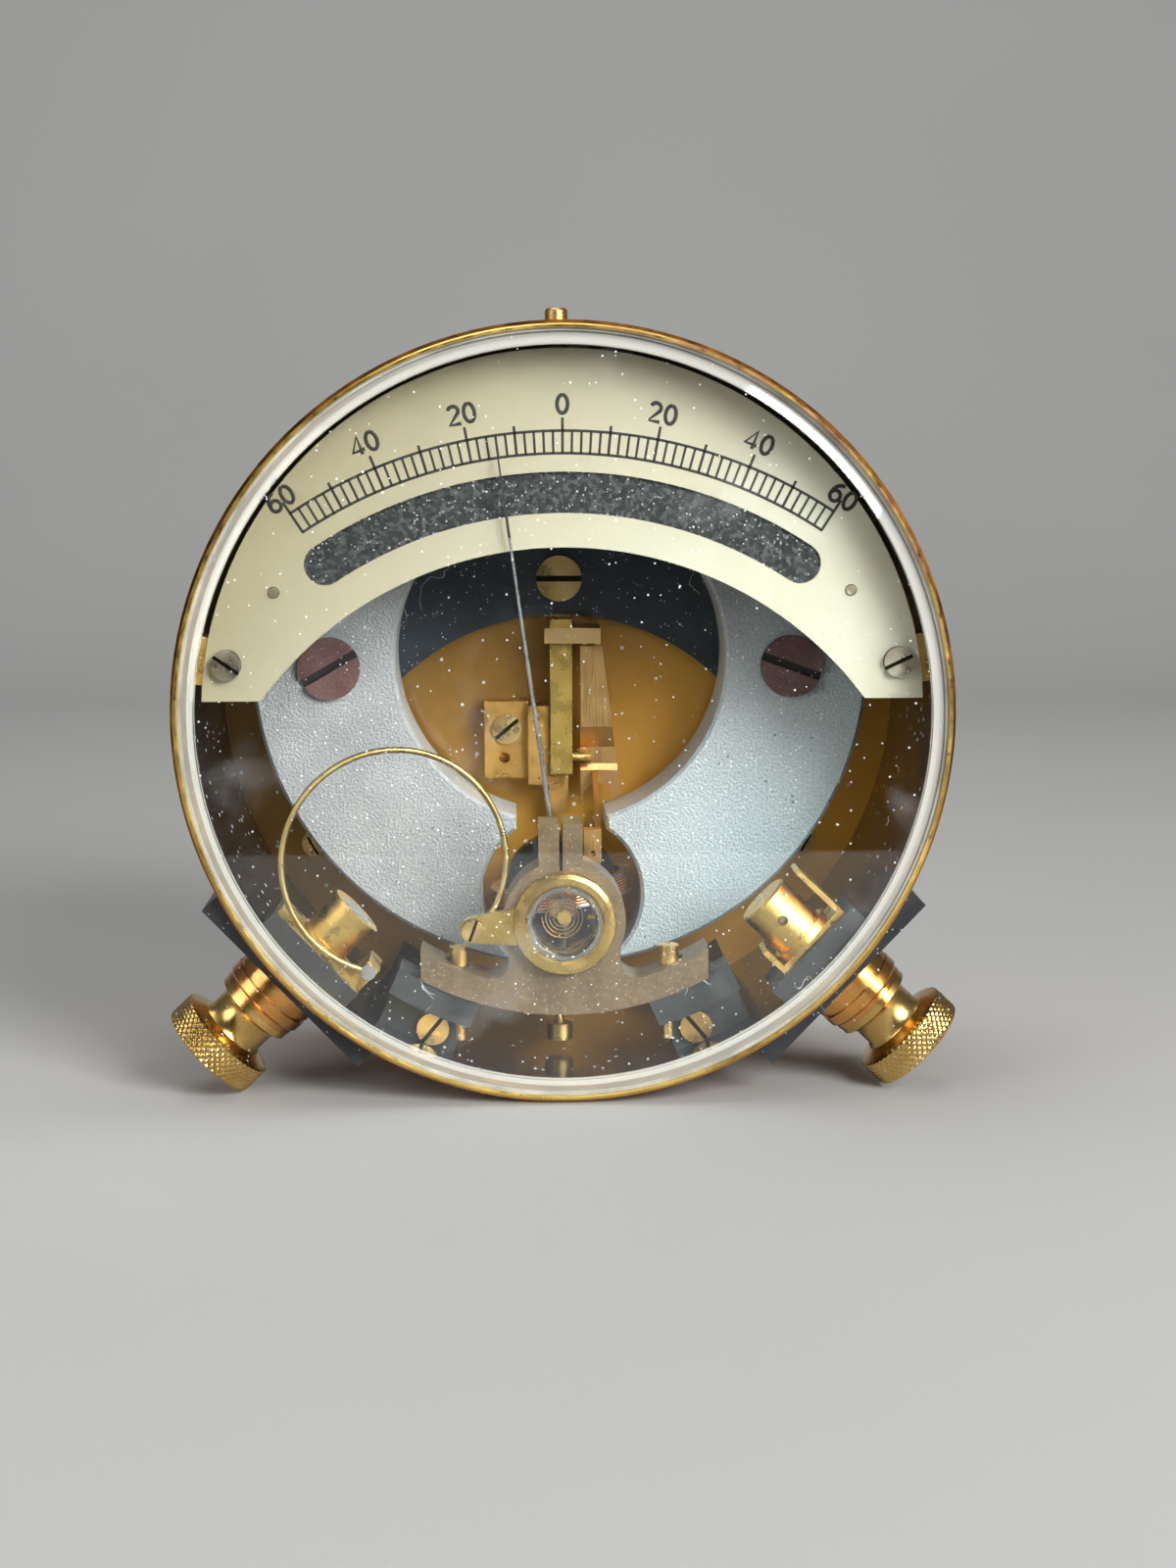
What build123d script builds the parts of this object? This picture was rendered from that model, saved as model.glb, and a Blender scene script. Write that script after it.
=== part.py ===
from build123d import *
from math import atan2, cos, degrees, radians, sin, sqrt
import os

# A portable moving-coil galvanometer in a glazed brass drum that stands on its rim.
# X is to the viewer's right, Y runs from the glass to the back, Z is up, and Z = 0 is the table.
# Depths are measured from the front of the bezel, heights from the table. Millimetres throughout.

# Driving dimensions: case
case_depth = 52.0
case_radius = 56.0
case_wall = 2.5
case_floor_thickness = 2.6
case_back_rounding = 1.0
bezel_lip_thickness = 1.55
bezel_lip_radius = 55.45
bezel_lip_width = 0.6
bezel_body_radius = 55.3
bezel_depth = 5.9
glass_front_depth = 0.5
glass_thickness = 2.5
glass_packing_width = 0.4
glass_packing_setback = 0.2
glass_bevel_width = 1.95
glass_bevel_drop = 0.8

# Driving dimensions: scale
scale_depth = 9.0
scale_thickness = 0.6
scale_rim_gap = 1.2
scale_foot_height = 58.0
scale_arc_radius = 54.6
mirror_slot_radius = 62.45
mirror_slot_width = 5.9
mirror_slot_angle = 33.3
mirror_overlap = 1.2
mirror_half_angle = 43.5
mirror_thickness = 1.0
scale_screw_x = 48.6
scale_screw_height = 63.3
scale_screw_head_radius = 2.2
scale_screw_head_height = 1.1
scale_screw_radius = 1.0
scale_screw_length = 4.5
scale_lug_reach = 46.0
scale_lug_width = 7.0
scale_lug_depth = 6.0
scale_rivet_x = 41.6
scale_rivet_height = 73.7
scale_rivet_head_radius = 0.85
scale_rivet_head_height = 0.4
scale_rivet_radius = 0.5

# Driving dimensions: magnet and the plate behind it
pivot_height = 25.4
magnet_depth = 31.0
magnet_thickness = 14.0
magnet_radius = 47.2
magnet_centre_height = 61.6
magnet_opening_radius = 25.4
magnet_opening_height = 62.2
magnet_top_height = 106.0
magnet_bore_radius = 12.35
magnet_neck_half_width = 6.95
magnet_tip_half_gap = 8.0
magnet_edge_chamfer = 0.5
magnet_screw_x = 35.4
magnet_screw_height = 60.8
magnet_screw_head_radius = 4.75
magnet_screw_head_height = 1.2
magnet_screw_radius = 2.5
magnet_spacer_radius = 5.0
backing_thickness = 2.0
backing_arc_radius = 36.1
backing_arc_height = 31.8
backing_top_height = 103.0
backing_horn_x = 44.4
backing_horn_foot_height = 25.6
backing_horn_rounding = 2.0
backing_screw_height = 73.6
backing_screw_head_radius = 3.6
backing_screw_head_height = 0.6
backing_screw_radius = 1.0
horn_screw_x = 39.4
horn_screw_height = 31.2
horn_screw_head_radius = 1.6
horn_screw_head_height = 0.9
horn_screw_radius = 0.8
horn_spacer_radius = 2.0

# Driving dimensions: pivot bridge and its supports
bridge_depth = 8.5
bridge_thickness = 8.0
bridge_ring_radius = 9.0
bridge_foot_inner_reach = 40.6
bridge_foot_outer_reach = 44.5
bridge_foot_half_angle = 28.3
bridge_web_half_width = 8.2
bridge_web_fillet = 2.4
bridge_finger_left = -3.75
bridge_finger_right = 2.7
bridge_finger_top = 39.8
bridge_slit_x = -0.5
bridge_slit_width = 0.5
bridge_screw_x = 15.5
bridge_screw_seat_height = 18.3
bridge_screw_head_radius = 1.55
bridge_screw_head_height = 2.8
bridge_screw_radius = 0.9
bridge_screw_notch = 2.1
support_angle = 24.5
support_pad_depth = 8.8
support_pad_length = 7.8
support_pad_height = 4.0
support_pad_width = 13.0
pillar_depth = 12.0
pillar_width = 12.0
pillar_screw_angle = 22.5
pillar_screw_reach = 51.0
pillar_screw_head_radius = 2.4
pillar_screw_head_height = 0.9
pillar_screw_radius = 1.1

# Driving dimensions: moving coil, core and pointer
coil_depth = 38.0
coil_outer_radius = 11.0
coil_radial_build = 1.5
coil_width = 3.4
coil_former_wall = 0.4
coil_flange = 0.3
coil_winding_recess = 0.2
coil_core_gap = 0.5
core_bore_radius = 1.6
core_stem_radius = 1.6
core_stem_seat = 1.5
core_arm_top_height = 12.9
core_arm_height = 3.0
core_arm_half_width = 3.8
core_arm_back_depth = 41.0
core_arm_face_half_width = 6.0
core_arm_face_thickness = 1.0
core_screw_x = -0.5
core_screw_depth = 25.2
core_screw_head_radius = 1.95
core_screw_head_height = 2.5
core_screw_radius = 0.7
core_screw_stand_off = 3.3
core_screw_bite = 2.0
jewel_radius = 1.1
jewel_length = 1.6
needle_radius = 0.4
needle_point_length = 2.4
needle_socket = 1.5
staff_radius = 0.5
staff_front_depth = 11.5
staff_boss_radius = 1.3
staff_boss_length = 1.4
staff_collar_depth = 21.1
staff_collar_radius = 2.1
staff_collar_thickness = 0.6
pointer_rest_angle = 7.8
pointer_hub_depth = 18.6
pointer_hub_length = 2.0
pointer_hub_radius = 1.7
pointer_root_radius = 0.36
pointer_elbow_reach = 14.6
pointer_elbow_depth = 17.3
pointer_shoulder_radius = 0.2
pointer_shoulder_reach = 56.6
pointer_shoulder_depth = 7.5
pointer_tip_reach = 70.3
pointer_tip_width = 0.45
pointer_tip_end_width = 0.2
pointer_tip_thickness = 0.3
counterweight_reach = 9.2
counterweight_radius = 1.8
counterweight_length = 1.62
counterweight_arm_radius = 0.4
collet_radius = 1.0
collet_length = 1.2
hairspring_depth = 12.0
hairspring_height = 0.6
hairspring_strip = 0.14
hairspring_pitch = 0.55
hairspring_turns = 4

# Driving dimensions: zero-setting ring and lead wire
zero_ring_depth = 6.1
zero_ring_radius = 7.55
zero_ring_inner_radius = 5.5
zero_ring_thickness = 2.3
zero_ring_rounding = 0.8
zero_seat_depth = 7.9
zero_spigot_radius = 5.6
zero_spigot_inner_radius = 4.6
zero_spigot_end_depth = 12.8
zero_stud_radius = 0.35
zero_arm_reach = 13.4
zero_arm_angle = 184.0
zero_arm_root_half_width = 2.9
zero_arm_end_radius = 1.9
zero_arm_thickness = 1.4
lens_rim_depth = 6.5
lens_rim_wall = 0.6
lens_thickness = 0.8
lens_seat_lip = 0.3
arm_screw_head_radius = 1.65
arm_screw_head_height = 0.9
arm_screw_radius = 0.7
lead_wire_radius = 0.45
lead_wire_lean = 10.2
lead_loop_radius = 16.4
lead_loop_x = -24.85
lead_loop_height = 34.7
lead_loop_start_angle = -25.0
lead_loop_end_angle = 252.0
lead_root_radius = 3.6
lead_root_turn = 65.0
lead_post_radius = 1.1

# Driving dimensions: transit clamp
knob_x = -0.2
knob_depth = 46.5
knob_radius = 1.8
knob_top_height = 115.8
knob_foot_height = 108.4
knob_rounding = 0.7
slide_stroke = 2.0
slide_strip_depth = 47.3
slide_strip_thickness = 1.1
slide_strip_half_width = 2.5
slide_strip_shoulder_height = 69.0
slide_slot_width = 2.6
slide_slot_foot_height = 72.2
slide_slot_top_height = 77.8
slide_bar_left = -1.5
slide_bar_right = 1.95
slide_bar_depth = 40.9
slide_bar_thickness = 2.2
slide_bar_foot_height = 43.0
slide_bar_top_height = 67.4
slide_link_foot_height = 61.0
cam_pin_height = 45.6
cam_pin_radius = 1.1
cam_pin_length = 2.9
cam_pin_slot_width = 0.5
crosshead_left = -2.4
crosshead_right = 6.35
crosshead_foot_height = 63.8
crosshead_height = 2.4
crosshead_depth = 38.4
crosshead_thickness = 2.2
crosshead_leg_left = 2.5
lever_pin_height = 61.7
lever_pin_depth = 43.4
lever_pin_radius = 0.7
lever_cheek_width = 0.8
lever_cheek_half_depth = 1.3
lever_lug_width = 1.2
lever_lug_radius = 1.4
lever_depth = 40.6
lever_thickness = 1.0
lever_top_height = 63.2
lever_top_left = 3.25
lever_top_right = 6.65
lever_foot_height = 37.6
lever_foot_right = 9.9
lever_bend_height = 50.5
lever_hollow_top_height = 47.0
lever_hollow_foot_height = 44.4
lever_hollow_depth = 42.8
lever_ramp_foot_height = 43.4
lever_ramp_depth = 42.35
lever_arch_x = 6.0
lever_arch_radius = 2.35
lever_arch_height = 39.0
lever_rim_gap = 0.6
finger_arm_left = 5.1
finger_arm_right = 5.85
finger_block_left = 3.2
finger_block_foot_height = 32.1
finger_block_top_height = 36.9
finger_block_length = 3.2
finger_block_bore = 0.45
finger_block_bore_x = 4.6
finger_block_bore_height = 33.3
finger_plate_thickness = 0.7
finger_prong_width = 1.1
finger_prong_gap = 0.45
finger_prong_foot_height = 23.8
finger_bow_height = 28.2
guide_block_left = -11.9
guide_block_right = -5.0
guide_block_foot_height = 42.0
guide_block_top_height = 54.2
guide_block_depth = 44.4
guide_rib_right = -1.7
guide_rib_foot_height = 41.1
guide_rib_top_height = 53.6
guide_rib_depth = 42.4
guide_tongue_right = 1.3
guide_tongue_foot_height = 36.4
guide_tongue_top_height = 47.0
guide_tongue_depth = 43.6
guide_tongue_thickness = 1.0
guide_screw_x = -8.4
guide_screw_height = 49.8
guide_screw_head_radius = 2.3
guide_screw_head_height = 0.7
guide_screw_radius = 1.1
guide_hole_x = -8.75
guide_hole_height = 45.2
guide_hole_radius = 0.85
guide_hole_length = 3.0

# Driving dimensions: terminals, both set at the same angle from straight down
terminal_angle = 46.4
terminal_depth = 10.5
pad_face_reach = 57.0
pad_length = 32.0
pad_width = 15.0
pad_bush_radius = 3.6
collar_radius = 6.6
collar_length = 4.5
collar_groove = 0.35
washer_radius = 6.2
washer_thickness = 0.8
nut_head_radius = 8.0
nut_head_length = 4.3
nut_head_chamfer = 0.6
nut_flange_radius = 6.1
nut_flange_length = 1.1
nut_waist_radius = 4.75
nut_pitch = 1.0
stud_radius = 2.5
stud_stand_out = 1.0
inner_block_length = 17.0
inner_block_width = 11.0
inner_block_reach = 49.7
strap_thickness = 0.8
strap_width = 7.0
strap_long_side = -7.0
strap_short_side = 5.6
strap_long_reach = 40.6
strap_short_reach = 45.4
capstan_reach = 40.2
capstan_radius = 4.1
capstan_flange_radius = 4.7
capstan_flange_length = 1.2
capstan_hole_radius = 0.75
spool_reach = 42.0
spool_flange_radius = 4.1
spool_flange_length = 0.7
spool_winding_radius = 3.75
tag_thickness = 0.8
tag_width = 8.0

# Named clearances
running_clearance = 0.05
stand_off = 0.1
moving_clearance = 0.3
slide_clearance = 0.15
floor_bite = 1.4
slot_depth_share = 0.6

# Worked-out values
front_y = -case_depth / 2
case_axis_height = case_radius
case_bore_radius = case_radius - case_wall
case_floor_depth = case_depth - case_floor_thickness
glass_seat_radius = bezel_lip_radius - bezel_lip_width
glass_radius = glass_seat_radius - glass_packing_width
glass_back_depth = glass_front_depth + glass_thickness
scale_back_depth = scale_depth + scale_thickness
scale_radius = case_bore_radius - scale_rim_gap
magnet_back_depth = magnet_depth + magnet_thickness
backing_back_depth = magnet_back_depth + backing_thickness
bridge_back_depth = bridge_depth + bridge_thickness
pad_reach = bridge_foot_outer_reach + support_pad_height
coil_inner_radius = coil_outer_radius - coil_radial_build
core_radius = coil_inner_radius - coil_core_gap
coil_front_depth = coil_depth - coil_outer_radius
zero_ring_back_depth = zero_ring_depth + zero_ring_thickness
lens_rim_radius = zero_ring_inner_radius - running_clearance
lens_radius = lens_rim_radius - lens_rim_wall
hairspring_outer_radius = collet_radius + hairspring_turns * hairspring_pitch
finger_depth = staff_collar_depth + staff_collar_thickness + stand_off
collar_face_reach = pad_face_reach + collar_length
nut_foot_reach = collar_face_reach + washer_thickness + 2 * running_clearance
nut_face_reach = (case_radius - nut_head_radius * sin(radians(terminal_angle))) / cos(radians(terminal_angle))
strap_face_reach = inner_block_reach - strap_thickness


def facing(depth, height=case_axis_height, x=0.0):
    """Plane parallel to the glass at a depth, towards the viewer, with its origin at a height and x."""
    return Plane(origin=(x, front_y + depth, height), x_dir=(1, 0, 0), z_dir=(0, -1, 0))


def turning(height):
    """Plane for half sections turned about a front-to-back axis: x is radius and y is depth."""
    return Plane(origin=(0, front_y, height), x_dir=(1, 0, 0), z_dir=(0, 0, 1))


def front_to_back(height):
    """Front-to-back axis at a height."""
    return Axis((0, 0, height), (0, 1, 0))


def side_view(x):
    """Plane across the case at x: its x axis is depth from the bezel and its y axis is height."""
    return Plane(origin=(x, front_y, 0), x_dir=(0, 1, 0), z_dir=(1, 0, 0))


def level(height):
    """Horizontal plane at a height: its x axis is the viewer's right and its y axis is depth."""
    return Plane(origin=(0, front_y, height), x_dir=(1, 0, 0), z_dir=(0, 0, 1))


def at_pivot(reach, depth, angle=pointer_rest_angle):
    """Point at a reach from the pivot axis along the pointer, turned left by an angle."""
    turn = radians(angle)
    return Vector(-reach * sin(turn), front_y + depth, pivot_height + reach * cos(turn))


def terminal_out(side):
    """Unit vector along a terminal, away from the case; side is 1 at the right and -1 at the left."""
    turn = radians(terminal_angle)
    return Vector(side * sin(turn), 0, -cos(turn))


def terminal_origin(depth=terminal_depth):
    """Point of the case axis that both terminals point away from, at a depth."""
    return Vector(0, front_y + depth, case_axis_height)


def terminal_section(side):
    """Plane for half sections turned about a terminal: x is radius and y is reach."""
    across = Vector(0, 1, 0)
    return Plane(origin=terminal_origin(), x_dir=across, z_dir=across.cross(terminal_out(side)))


def terminal_axis(side):
    """Axis of a terminal."""
    return Axis(terminal_origin(), terminal_out(side))


def terminal_front(side, depth):
    """Plane parallel to the glass at a depth, with its x axis along a terminal."""
    return Plane(origin=terminal_origin(depth), x_dir=terminal_out(side), z_dir=(0, -1, 0))


def rod(start, end, start_radius, end_radius):
    """Straight round rod between two points, tapered from one radius to the other."""
    run = end - start
    with BuildPart(mode=Mode.PRIVATE) as bar:
        with BuildSketch(Plane(origin=start, z_dir=run)):
            Circle(start_radius)
        extrude(amount=run.length, taper=degrees(atan2(start_radius - end_radius, run.length)))
    return bar.part


def slotted_screw(seat, head_radius, head_height, shank_radius, shank_length, slot_angle):
    """Slotted screw with its head standing on the seat plane and its shank behind it."""
    with BuildPart(mode=Mode.PRIVATE) as screw:
        with BuildSketch(seat):
            Circle(head_radius)
        extrude(amount=head_height)
        with BuildSketch(seat):
            Circle(shank_radius)
        extrude(amount=-shank_length)
        with BuildSketch(seat.offset(head_height)):
            Rectangle(3 * head_radius, 0.26 * head_radius, rotation=slot_angle)
        extrude(amount=-head_height * slot_depth_share, mode=Mode.SUBTRACT)
    return screw.part


def turned(plane, axis, outline):
    """Solid turned about an axis from a closed outline on a plane."""
    with BuildPart(mode=Mode.PRIVATE) as body:
        with BuildSketch(plane):
            with BuildLine():
                Polyline(*outline, close=True)
            make_face()
        revolve(axis=axis)
    return body.part


def finish(piece, name):
    """Label a piece and write it."""
    piece.part.label = name
    export_step(piece.part, "parts/" + name + ".step")


os.makedirs("parts", exist_ok=True)

# Case: one drum with its floor, bored for the knob and both terminals
with BuildPart() as case_drum:
    with BuildSketch(turning(case_axis_height)):
        with BuildLine():
            Polyline(
                (0, case_floor_depth),
                (case_bore_radius, case_floor_depth),
                (case_bore_radius, bezel_depth + stand_off),
                (bezel_body_radius + running_clearance, bezel_depth + stand_off),
                (bezel_body_radius + running_clearance, bezel_lip_thickness + running_clearance),
                (case_radius, bezel_lip_thickness + running_clearance),
                (case_radius, case_depth - case_back_rounding),
                (case_radius - case_back_rounding, case_depth),
                (0, case_depth),
                close=True,
            )
        make_face()
    revolve(axis=front_to_back(case_axis_height))
    with BuildSketch(level(case_axis_height + case_bore_radius - 2 * case_wall)):
        with Locations((knob_x, knob_depth)):
            Circle(knob_radius + slide_clearance)
    extrude(amount=4 * case_wall, mode=Mode.SUBTRACT)
    for side in (1, -1):
        with BuildSketch(Plane(origin=terminal_origin() + terminal_out(side) * 50, z_dir=terminal_out(side))):
            Circle(pad_bush_radius)
        extrude(amount=4 * case_wall, mode=Mode.SUBTRACT)
finish(case_drum, "case_drum")

with BuildPart() as bezel_ring:
    with BuildSketch(turning(case_axis_height)):
        with BuildLine():
            Polyline(
                (glass_seat_radius, 0.15),
                (glass_seat_radius + 0.15, 0),
                (bezel_lip_radius - 0.2, 0),
                (bezel_lip_radius, 0.2),
                (bezel_lip_radius, bezel_lip_thickness),
                (bezel_body_radius, bezel_lip_thickness),
                (bezel_body_radius, bezel_depth),
                (case_bore_radius, bezel_depth),
                (case_bore_radius, glass_back_depth),
                (glass_seat_radius, glass_back_depth),
                close=True,
            )
        make_face()
    revolve(axis=front_to_back(case_axis_height))
finish(bezel_ring, "bezel_ring")

with BuildPart() as glass_packing:
    with BuildSketch(turning(case_axis_height)):
        with BuildLine():
            Polyline(
                (glass_radius, glass_front_depth + glass_packing_setback),
                (glass_seat_radius, glass_front_depth + glass_packing_setback),
                (glass_seat_radius, glass_back_depth),
                (glass_radius, glass_back_depth),
                close=True,
            )
        make_face()
    revolve(axis=front_to_back(case_axis_height))
finish(glass_packing, "glass_packing")

with BuildPart() as front_glass:
    with BuildSketch(turning(case_axis_height)):
        with BuildLine():
            Polyline(
                (0, glass_front_depth),
                (glass_radius - glass_bevel_width, glass_front_depth),
                (glass_radius, glass_front_depth + glass_bevel_drop),
                (glass_radius, glass_back_depth),
                (0, glass_back_depth),
                close=True,
            )
        make_face()
    revolve(axis=front_to_back(case_axis_height))
finish(front_glass, "front_glass")

# Scale: an ivory plate bounded by the rim, a straight foot and an arc about the pivot
with BuildPart() as scale_plate:
    with BuildSketch(facing(scale_depth)):
        Circle(scale_radius)
        with Locations((0, scale_foot_height - case_axis_height - scale_radius)):
            Rectangle(2 * scale_radius, 2 * scale_radius, mode=Mode.SUBTRACT)
        with Locations((0, pivot_height - case_axis_height)):
            Circle(scale_arc_radius, mode=Mode.SUBTRACT)
            SlotArc(
                CenterArc((0, 0), mirror_slot_radius, 90 - mirror_slot_angle, 2 * mirror_slot_angle, mode=Mode.PRIVATE),
                mirror_slot_width,
                mode=Mode.SUBTRACT,
            )
        for side in (1, -1):
            with Locations((side * scale_screw_x, scale_screw_height - case_axis_height)):
                Circle(scale_screw_radius, mode=Mode.SUBTRACT)
            with Locations((side * scale_rivet_x, scale_rivet_height - case_axis_height)):
                Circle(scale_rivet_radius, mode=Mode.SUBTRACT)
    extrude(amount=-scale_thickness)
finish(scale_plate, "scale_plate")

with BuildPart() as scale_mirror:
    with BuildSketch(facing(scale_back_depth, pivot_height)):
        with BuildLine():
            inner = mirror_slot_radius - mirror_slot_width / 2 - mirror_overlap
            outer = mirror_slot_radius + mirror_slot_width / 2 + mirror_overlap
            low = CenterArc((0, 0), inner, 90 - mirror_half_angle, 2 * mirror_half_angle)
            high = CenterArc((0, 0), outer, 90 - mirror_half_angle, 2 * mirror_half_angle)
            Line(low @ 0, high @ 0)
            Line(low @ 1, high @ 1)
        make_face()
        for side in (1, -1):
            with Locations((side * scale_rivet_x, scale_rivet_height - pivot_height)):
                Circle(scale_rivet_radius, mode=Mode.SUBTRACT)
    extrude(amount=-mirror_thickness)
finish(scale_mirror, "scale_mirror")

with BuildPart() as scale_lugs:
    for side in (1, -1):
        lug_angle = degrees(atan2(scale_screw_height - case_axis_height, side * scale_screw_x))
        with BuildSketch(facing(scale_back_depth)):
            Circle(case_bore_radius)
            Circle(scale_lug_reach, mode=Mode.SUBTRACT)
            with Locations(Rot(0, 0, lug_angle) * Pos(case_bore_radius, 0)):
                Rectangle(4 * case_wall + case_bore_radius - scale_lug_reach, scale_lug_width, mode=Mode.INTERSECT)
            with Locations((side * scale_screw_x, scale_screw_height - case_axis_height)):
                Circle(scale_screw_radius, mode=Mode.SUBTRACT)
        extrude(amount=-scale_lug_depth)
finish(scale_lugs, "scale_lugs")

with BuildPart() as scale_screws:
    for side, slot_angle in ((1, 25.0), (-1, -35.0)):
        add(
            slotted_screw(
                facing(scale_depth, scale_screw_height, side * scale_screw_x),
                scale_screw_head_radius,
                scale_screw_head_height,
                scale_screw_radius,
                scale_screw_length,
                slot_angle,
            )
        )
finish(scale_screws, "scale_screws")

with BuildPart() as scale_rivets:
    for side in (1, -1):
        seat = facing(scale_depth, scale_rivet_height, side * scale_rivet_x)
        with BuildSketch(seat):
            Circle(scale_rivet_head_radius)
        extrude(amount=scale_rivet_head_height, taper=25)
        with BuildSketch(seat):
            Circle(scale_rivet_radius)
        extrude(amount=-scale_thickness - mirror_thickness)
finish(scale_rivets, "scale_rivets")

# Magnet: a C round the opening, with poles that embrace the coil
with BuildPart() as magnet:
    with BuildSketch(facing(magnet_depth)):
        with Locations((0, magnet_centre_height - case_axis_height)):
            Circle(magnet_radius)
        with Locations((0, magnet_top_height - case_axis_height + magnet_radius)):
            Rectangle(2 * magnet_radius, 2 * magnet_radius, mode=Mode.SUBTRACT)
        with Locations((0, magnet_opening_height - case_axis_height)):
            Circle(magnet_opening_radius, mode=Mode.SUBTRACT)
        with Locations((0, pivot_height - case_axis_height)):
            Circle(magnet_bore_radius, mode=Mode.SUBTRACT)
        with Locations((0, (pivot_height + magnet_opening_height) / 2 - case_axis_height)):
            Rectangle(2 * magnet_neck_half_width, magnet_opening_height - pivot_height, mode=Mode.SUBTRACT)
        with Locations((0, pivot_height - magnet_radius / 2 - case_axis_height)):
            Rectangle(2 * magnet_tip_half_gap, magnet_radius, mode=Mode.SUBTRACT)
    extrude(amount=-magnet_thickness)
    chamfer(magnet.faces().sort_by(Axis.Y)[0].edges(), magnet_edge_chamfer)
    for side in (1, -1):
        with BuildSketch(facing(magnet_depth, magnet_screw_height, side * magnet_screw_x)):
            Circle(magnet_screw_radius)
        extrude(amount=-magnet_thickness, mode=Mode.SUBTRACT)
finish(magnet, "magnet")

with BuildPart() as backing_plate:
    with BuildSketch(facing(magnet_back_depth)):
        with Locations((0, magnet_centre_height - case_axis_height)):
            Circle(magnet_radius - moving_clearance)
        with Locations((0, backing_arc_height - case_axis_height)):
            Circle(backing_arc_radius, mode=Mode.SUBTRACT)
            with Locations((0, -backing_arc_radius)):
                Rectangle(2 * backing_arc_radius, 2 * backing_arc_radius, mode=Mode.SUBTRACT)
        backing_span = backing_top_height - backing_horn_foot_height
        with Locations((0, backing_horn_foot_height + backing_span / 2 - case_axis_height)):
            Rectangle(2 * backing_horn_x, backing_span, mode=Mode.INTERSECT)
        for side in (1, -1):
            with Locations((side * magnet_screw_x, magnet_screw_height - case_axis_height)):
                Circle(magnet_screw_radius, mode=Mode.SUBTRACT)
            with Locations((side * horn_screw_x, horn_screw_height - case_axis_height)):
                Circle(horn_screw_radius, mode=Mode.SUBTRACT)
        with Locations((0, backing_screw_height - case_axis_height)):
            Circle(backing_screw_radius, mode=Mode.SUBTRACT)
    extrude(amount=-backing_thickness)
finish(backing_plate, "backing_plate")

with BuildPart() as magnet_spacers:
    for side in (1, -1):
        spots = (
            (magnet_screw_x, magnet_screw_height, magnet_spacer_radius, magnet_screw_radius),
            (horn_screw_x, horn_screw_height, horn_spacer_radius, horn_screw_radius),
        )
        for x, height, outer, bore in spots:
            with BuildSketch(facing(backing_back_depth, height, side * x)):
                Circle(outer)
                Circle(bore, mode=Mode.SUBTRACT)
            extrude(amount=backing_back_depth - case_floor_depth)
finish(magnet_spacers, "magnet_spacers")

with BuildPart() as magnet_screws:
    for side, slot_angle in ((1, -20.0), (-1, 30.0)):
        add(
            slotted_screw(
                facing(magnet_depth, magnet_screw_height, side * magnet_screw_x),
                magnet_screw_head_radius,
                magnet_screw_head_height,
                magnet_screw_radius,
                case_floor_depth - magnet_depth,
                slot_angle,
            )
        )
finish(magnet_screws, "magnet_screws")

with BuildPart() as backing_screw:
    add(
        slotted_screw(
            facing(magnet_back_depth, backing_screw_height, 0),
            backing_screw_head_radius,
            backing_screw_head_height,
            backing_screw_radius,
            case_floor_depth - magnet_back_depth,
            0.0,
        )
    )
finish(backing_screw, "backing_screw")

with BuildPart() as horn_screws:
    for side in (1, -1):
        add(
            slotted_screw(
                facing(magnet_back_depth, horn_screw_height, side * horn_screw_x),
                horn_screw_head_radius,
                horn_screw_head_height,
                horn_screw_radius,
                case_floor_depth - magnet_back_depth,
                60.0 * side,
            )
        )
finish(horn_screws, "horn_screws")

# Pivot bridge: ring, two clamping fingers and a curved foot, on insulated pillars
bridge_screw_depth = support_pad_depth + support_pad_length / 2
with BuildPart() as pivot_bridge:
    with BuildSketch(facing(bridge_depth)) as bridge_face:
        Circle(bridge_foot_outer_reach)
        Circle(bridge_foot_inner_reach, mode=Mode.SUBTRACT)
        foot_half_width = bridge_foot_outer_reach * sin(radians(bridge_foot_half_angle))
        with Locations((0, -case_radius / 2)):
            Rectangle(2 * foot_half_width, case_radius, mode=Mode.INTERSECT)
        web_height = bridge_foot_inner_reach + pivot_height - case_axis_height
        with Locations((0, pivot_height - case_axis_height - web_height / 2)):
            Rectangle(2 * bridge_web_half_width, web_height + 1)
        corners = bridge_face.vertices().filter_by(lambda v: abs(abs(v.X) - bridge_web_half_width) < 0.01)
        fillet(corners.sort_by(Axis.Y)[0:2], bridge_web_fillet)
        with Locations((0, pivot_height - case_axis_height)):
            Circle(bridge_ring_radius)
        finger_span = bridge_finger_top - pivot_height
        finger_width = bridge_finger_right - bridge_finger_left
        with Locations((bridge_finger_left + finger_width / 2, bridge_finger_top - finger_span / 2 - case_axis_height)):
            Rectangle(finger_width, finger_span)
        with Locations((bridge_slit_x, bridge_finger_top - finger_span / 2 - case_axis_height)):
            Rectangle(bridge_slit_width, finger_span, mode=Mode.SUBTRACT)
        with Locations((0, pivot_height - case_axis_height)):
            Circle(zero_spigot_radius + running_clearance, mode=Mode.SUBTRACT)
    extrude(amount=-bridge_thickness)
    for side in (1, -1):
        with BuildSketch(level(bridge_screw_seat_height)):
            with Locations((side * bridge_screw_x, bridge_screw_depth)):
                Circle(bridge_screw_notch)
        extrude(amount=case_radius / 4, mode=Mode.SUBTRACT)
        with BuildSketch(level(0)):
            with Locations((side * bridge_screw_x, bridge_screw_depth)):
                Circle(bridge_screw_radius)
        extrude(amount=bridge_screw_seat_height, mode=Mode.SUBTRACT)
finish(pivot_bridge, "pivot_bridge")


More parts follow.
